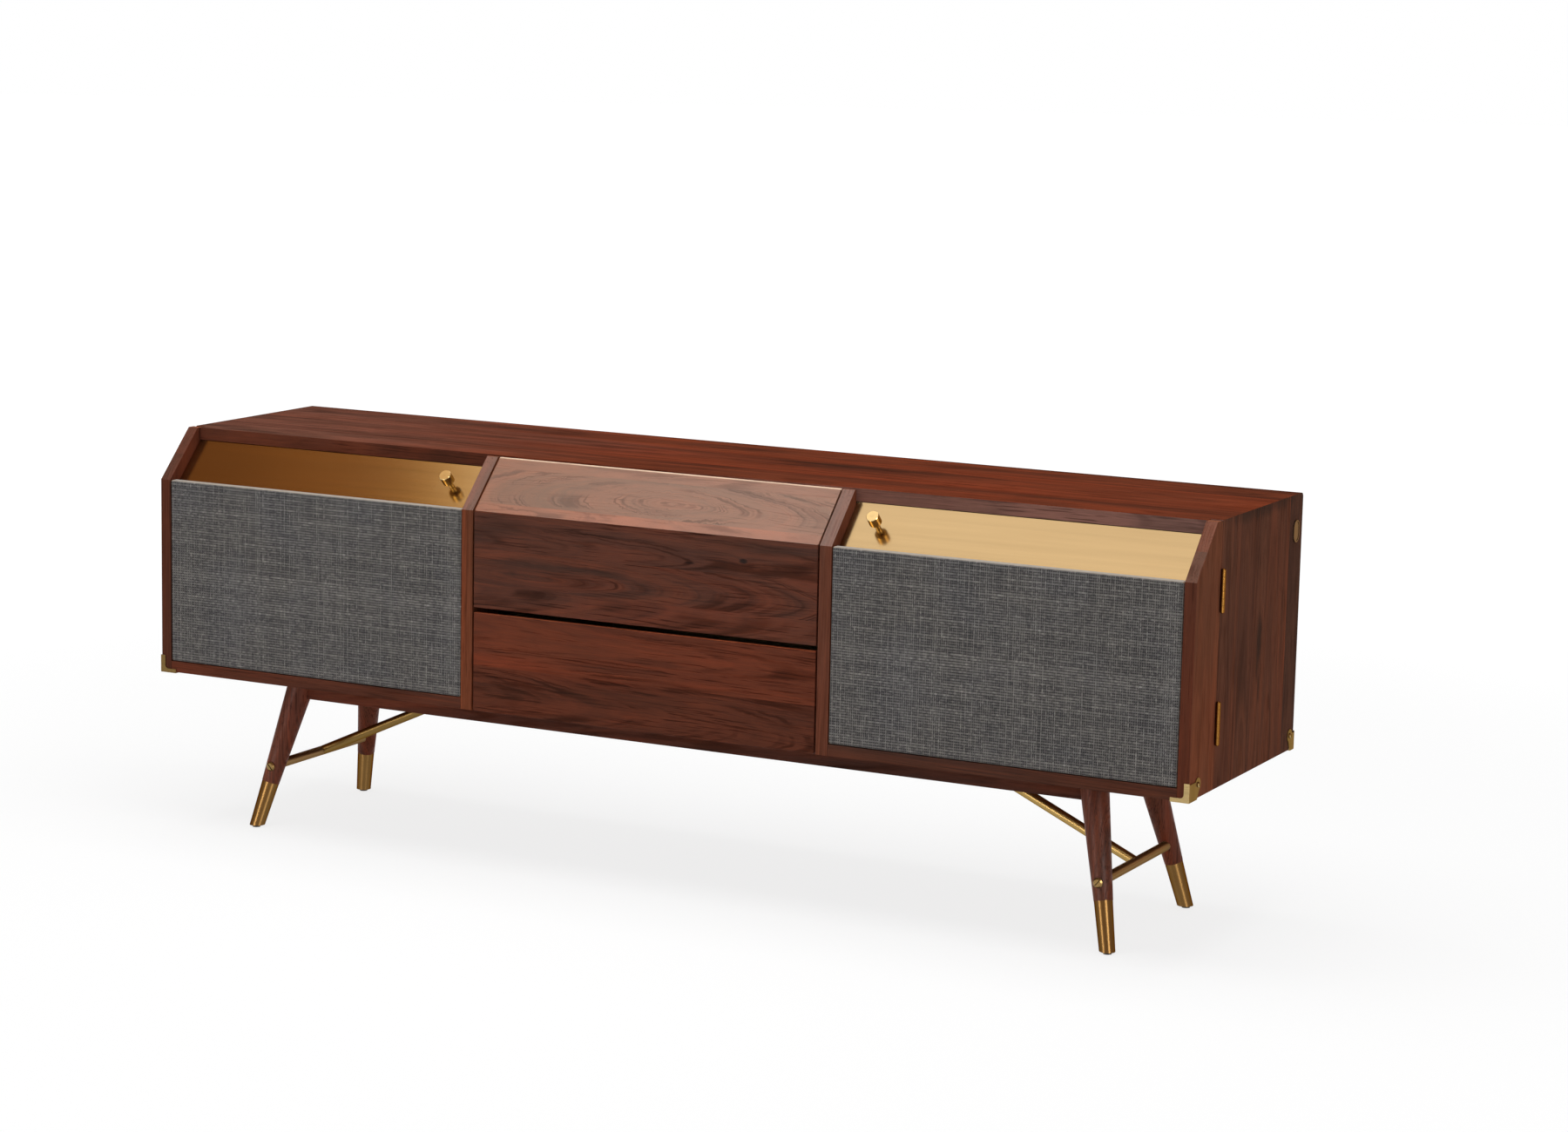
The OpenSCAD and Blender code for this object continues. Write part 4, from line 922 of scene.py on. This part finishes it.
def stretched_cloth(name, low, high, material, body):
    """The cloth over a panel's front, rolled round its four edges and back along its sides.
    Gives the piece and its flat size."""
    inner_low = np.array([low.x + CLOTH_ROUND, low.z + CLOTH_ROUND])
    inner_high = np.array([high.x - CLOTH_ROUND, high.z - CLOTH_ROUND])
    arc = CLOTH_ROUND * math.pi / 2
    turn_in = high.y - low.y - CLOTH_ROUND - CLOTH_BACK
    margin = arc + turn_in
    size = inner_high - inner_low + 2 * margin
    # two steps to a thread, so that each one is a ridge
    counts = [int(round(size[0] / (WARP / 2))), int(round(size[1] / (WEFT / 2)))]
    steps_x = np.linspace(inner_low[0] - margin, inner_high[0] + margin, counts[0] + 1)
    steps_z = np.linspace(inner_low[1] - margin, inner_high[1] + margin, counts[1] + 1)
    gx, gz = np.meshgrid(steps_x, steps_z, indexing="ij")
    ix, iz = np.indices(gx.shape)

    # the flat sheet, wrapped round the panel's rounded edges
    flat = np.stack([gx, gz], -1)
    held = np.clip(flat, inner_low, inner_high)
    out = flat - held
    length = np.linalg.norm(out, axis=-1)
    way = out / np.maximum(length, 1e-9)[..., None]
    angle = np.minimum(length / CLOTH_ROUND, math.pi / 2)
    reach = CLOTH_ROUND * np.sin(angle)
    back = CLOTH_ROUND * (1 - np.cos(angle)) + np.clip(length - arc, 0, turn_in)

    wave = (np.cos(np.pi * ix) + np.cos(np.pi * iz)) / 4
    over = np.where(((ix // 2 + iz // 2) % 2) == 0, 1, -1) * ((ix % 2 == 0) & (iz % 2 == 0))
    relief = RELIEF * (wave - 0.5 + over * 0.12)
    sag = SAG * np.sin(gx * 17.0 + 1.0) * np.sin(gz * 23.0)
    flatness = np.clip(1 - length / CLOTH_ROUND, 0, 1)
    spot = held + way * reach[..., None]
    depth = low.y + back - relief * np.cos(angle) + (SET_BACK + sag) * flatness
    spot = spot + way * (relief * np.sin(angle))[..., None]
    points = np.stack([spot[..., 0], depth, spot[..., 1]], -1).reshape(-1, 3)

    rows = counts[1] + 1
    faces = [(i * rows + j, (i + 1) * rows + j, (i + 1) * rows + j + 1, i * rows + j + 1)
             for i in range(counts[0]) for j in range(counts[1])
             if length[i:i + 2, j:j + 2].min() <= margin]
    mesh = bpy.data.meshes.new(name)
    mesh.from_pydata(points.tolist(), [], faces)
    weave = mesh.attributes.new("weave", "FLOAT_VECTOR", "POINT")
    at = [(ix - counts[0] // 2) * WARP / 2, (iz - counts[1] // 2) * WEFT / 2, 0 * gx]
    weave.data.foreach_set("vector", np.stack(at, -1).reshape(-1).astype(np.float32))
    clean(mesh)
    mesh.polygons.foreach_set("use_smooth", [True] * len(mesh.polygons))
    mesh.materials.append(material)
    piece = add_object(name, mesh)
    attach(piece, body)
    return piece, tuple(float(v) for v in size)


def add_box(shape, low, high):
    made = bmesh.ops.create_cube(shape, size=1.0)["verts"]
    middle, size = (Vector(low) + Vector(high)) / 2, Vector(high) - Vector(low)
    placed = Matrix.Translation(middle) @ Matrix.Diagonal((*size, 1))
    bmesh.ops.transform(shape, matrix=placed, verts=made)


def stretcher(name, low, high, material, body):
    """The wooden frame that the cloth is stretched over, with mitred corners and a middle bar."""
    x0, x1 = low.x + FRAME_INSET, high.x - FRAME_INSET
    z0, z1 = low.z + FRAME_INSET, high.z - FRAME_INSET
    y0, y1 = low.y + FRAME_FRONT, high.y - FRAME_BACK
    in_x0, in_x1, in_z0, in_z1 = x0 + FRAME_WIDE, x1 - FRAME_WIDE, z0 + FRAME_WIDE, z1 - FRAME_WIDE
    shape = bmesh.new()
    outer = [(x0, z0), (x1, z0), (x1, z1), (x0, z1)]
    inner = [(in_x0, in_z0), (in_x1, in_z0), (in_x1, in_z1), (in_x0, in_z1)]
    for i in range(4):
        j = (i + 1) % 4
        ring = [outer[i], outer[j], inner[j], inner[i]]
        front = [shape.verts.new((x, y0, z)) for x, z in ring]
        rear = [shape.verts.new((x, y1, z)) for x, z in ring]
        shape.faces.new(front)
        shape.faces.new(rear[::-1])
        for a in range(4):
            b = (a + 1) % 4
            shape.faces.new((front[b], front[a], rear[a], rear[b]))
    middle = (x0 + x1) / 2
    add_box(shape, (middle - BAR_HALF, y0 + BAR_FRONT, in_z0), (middle + BAR_HALF, y1, in_z1))
    bmesh.ops.recalc_face_normals(shape, faces=shape.faces)
    mesh = bpy.data.meshes.new(name)
    shape.to_mesh(mesh)
    shape.free()
    mesh.materials.append(material)
    piece = add_object(name, mesh)
    bevel = piece.modifiers.new("arris", "BEVEL")
    bevel.width, bevel.segments, bevel.limit_method = 0.8 * MM, 2, "ANGLE"
    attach(piece, body)
    return piece


weave_cloth = cloth_material("grey_weave")
frame_wood = pale_wood("pale_stretcher", X, Z, 41)
for side in ("left", "right"):
    low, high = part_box(f"{side}_door_cloth_panel")
    wood = stretcher(f"{side}_door_cloth_frame", low, high, frame_wood, f"{side}_door")
    cloth, cut = stretched_cloth(f"{side}_door_cloth", low, high, weave_cloth, f"{side}_door")
    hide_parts(f"{side}_door_cloth_panel")

bpy.context.scene.view_settings.view_transform = "Standard"
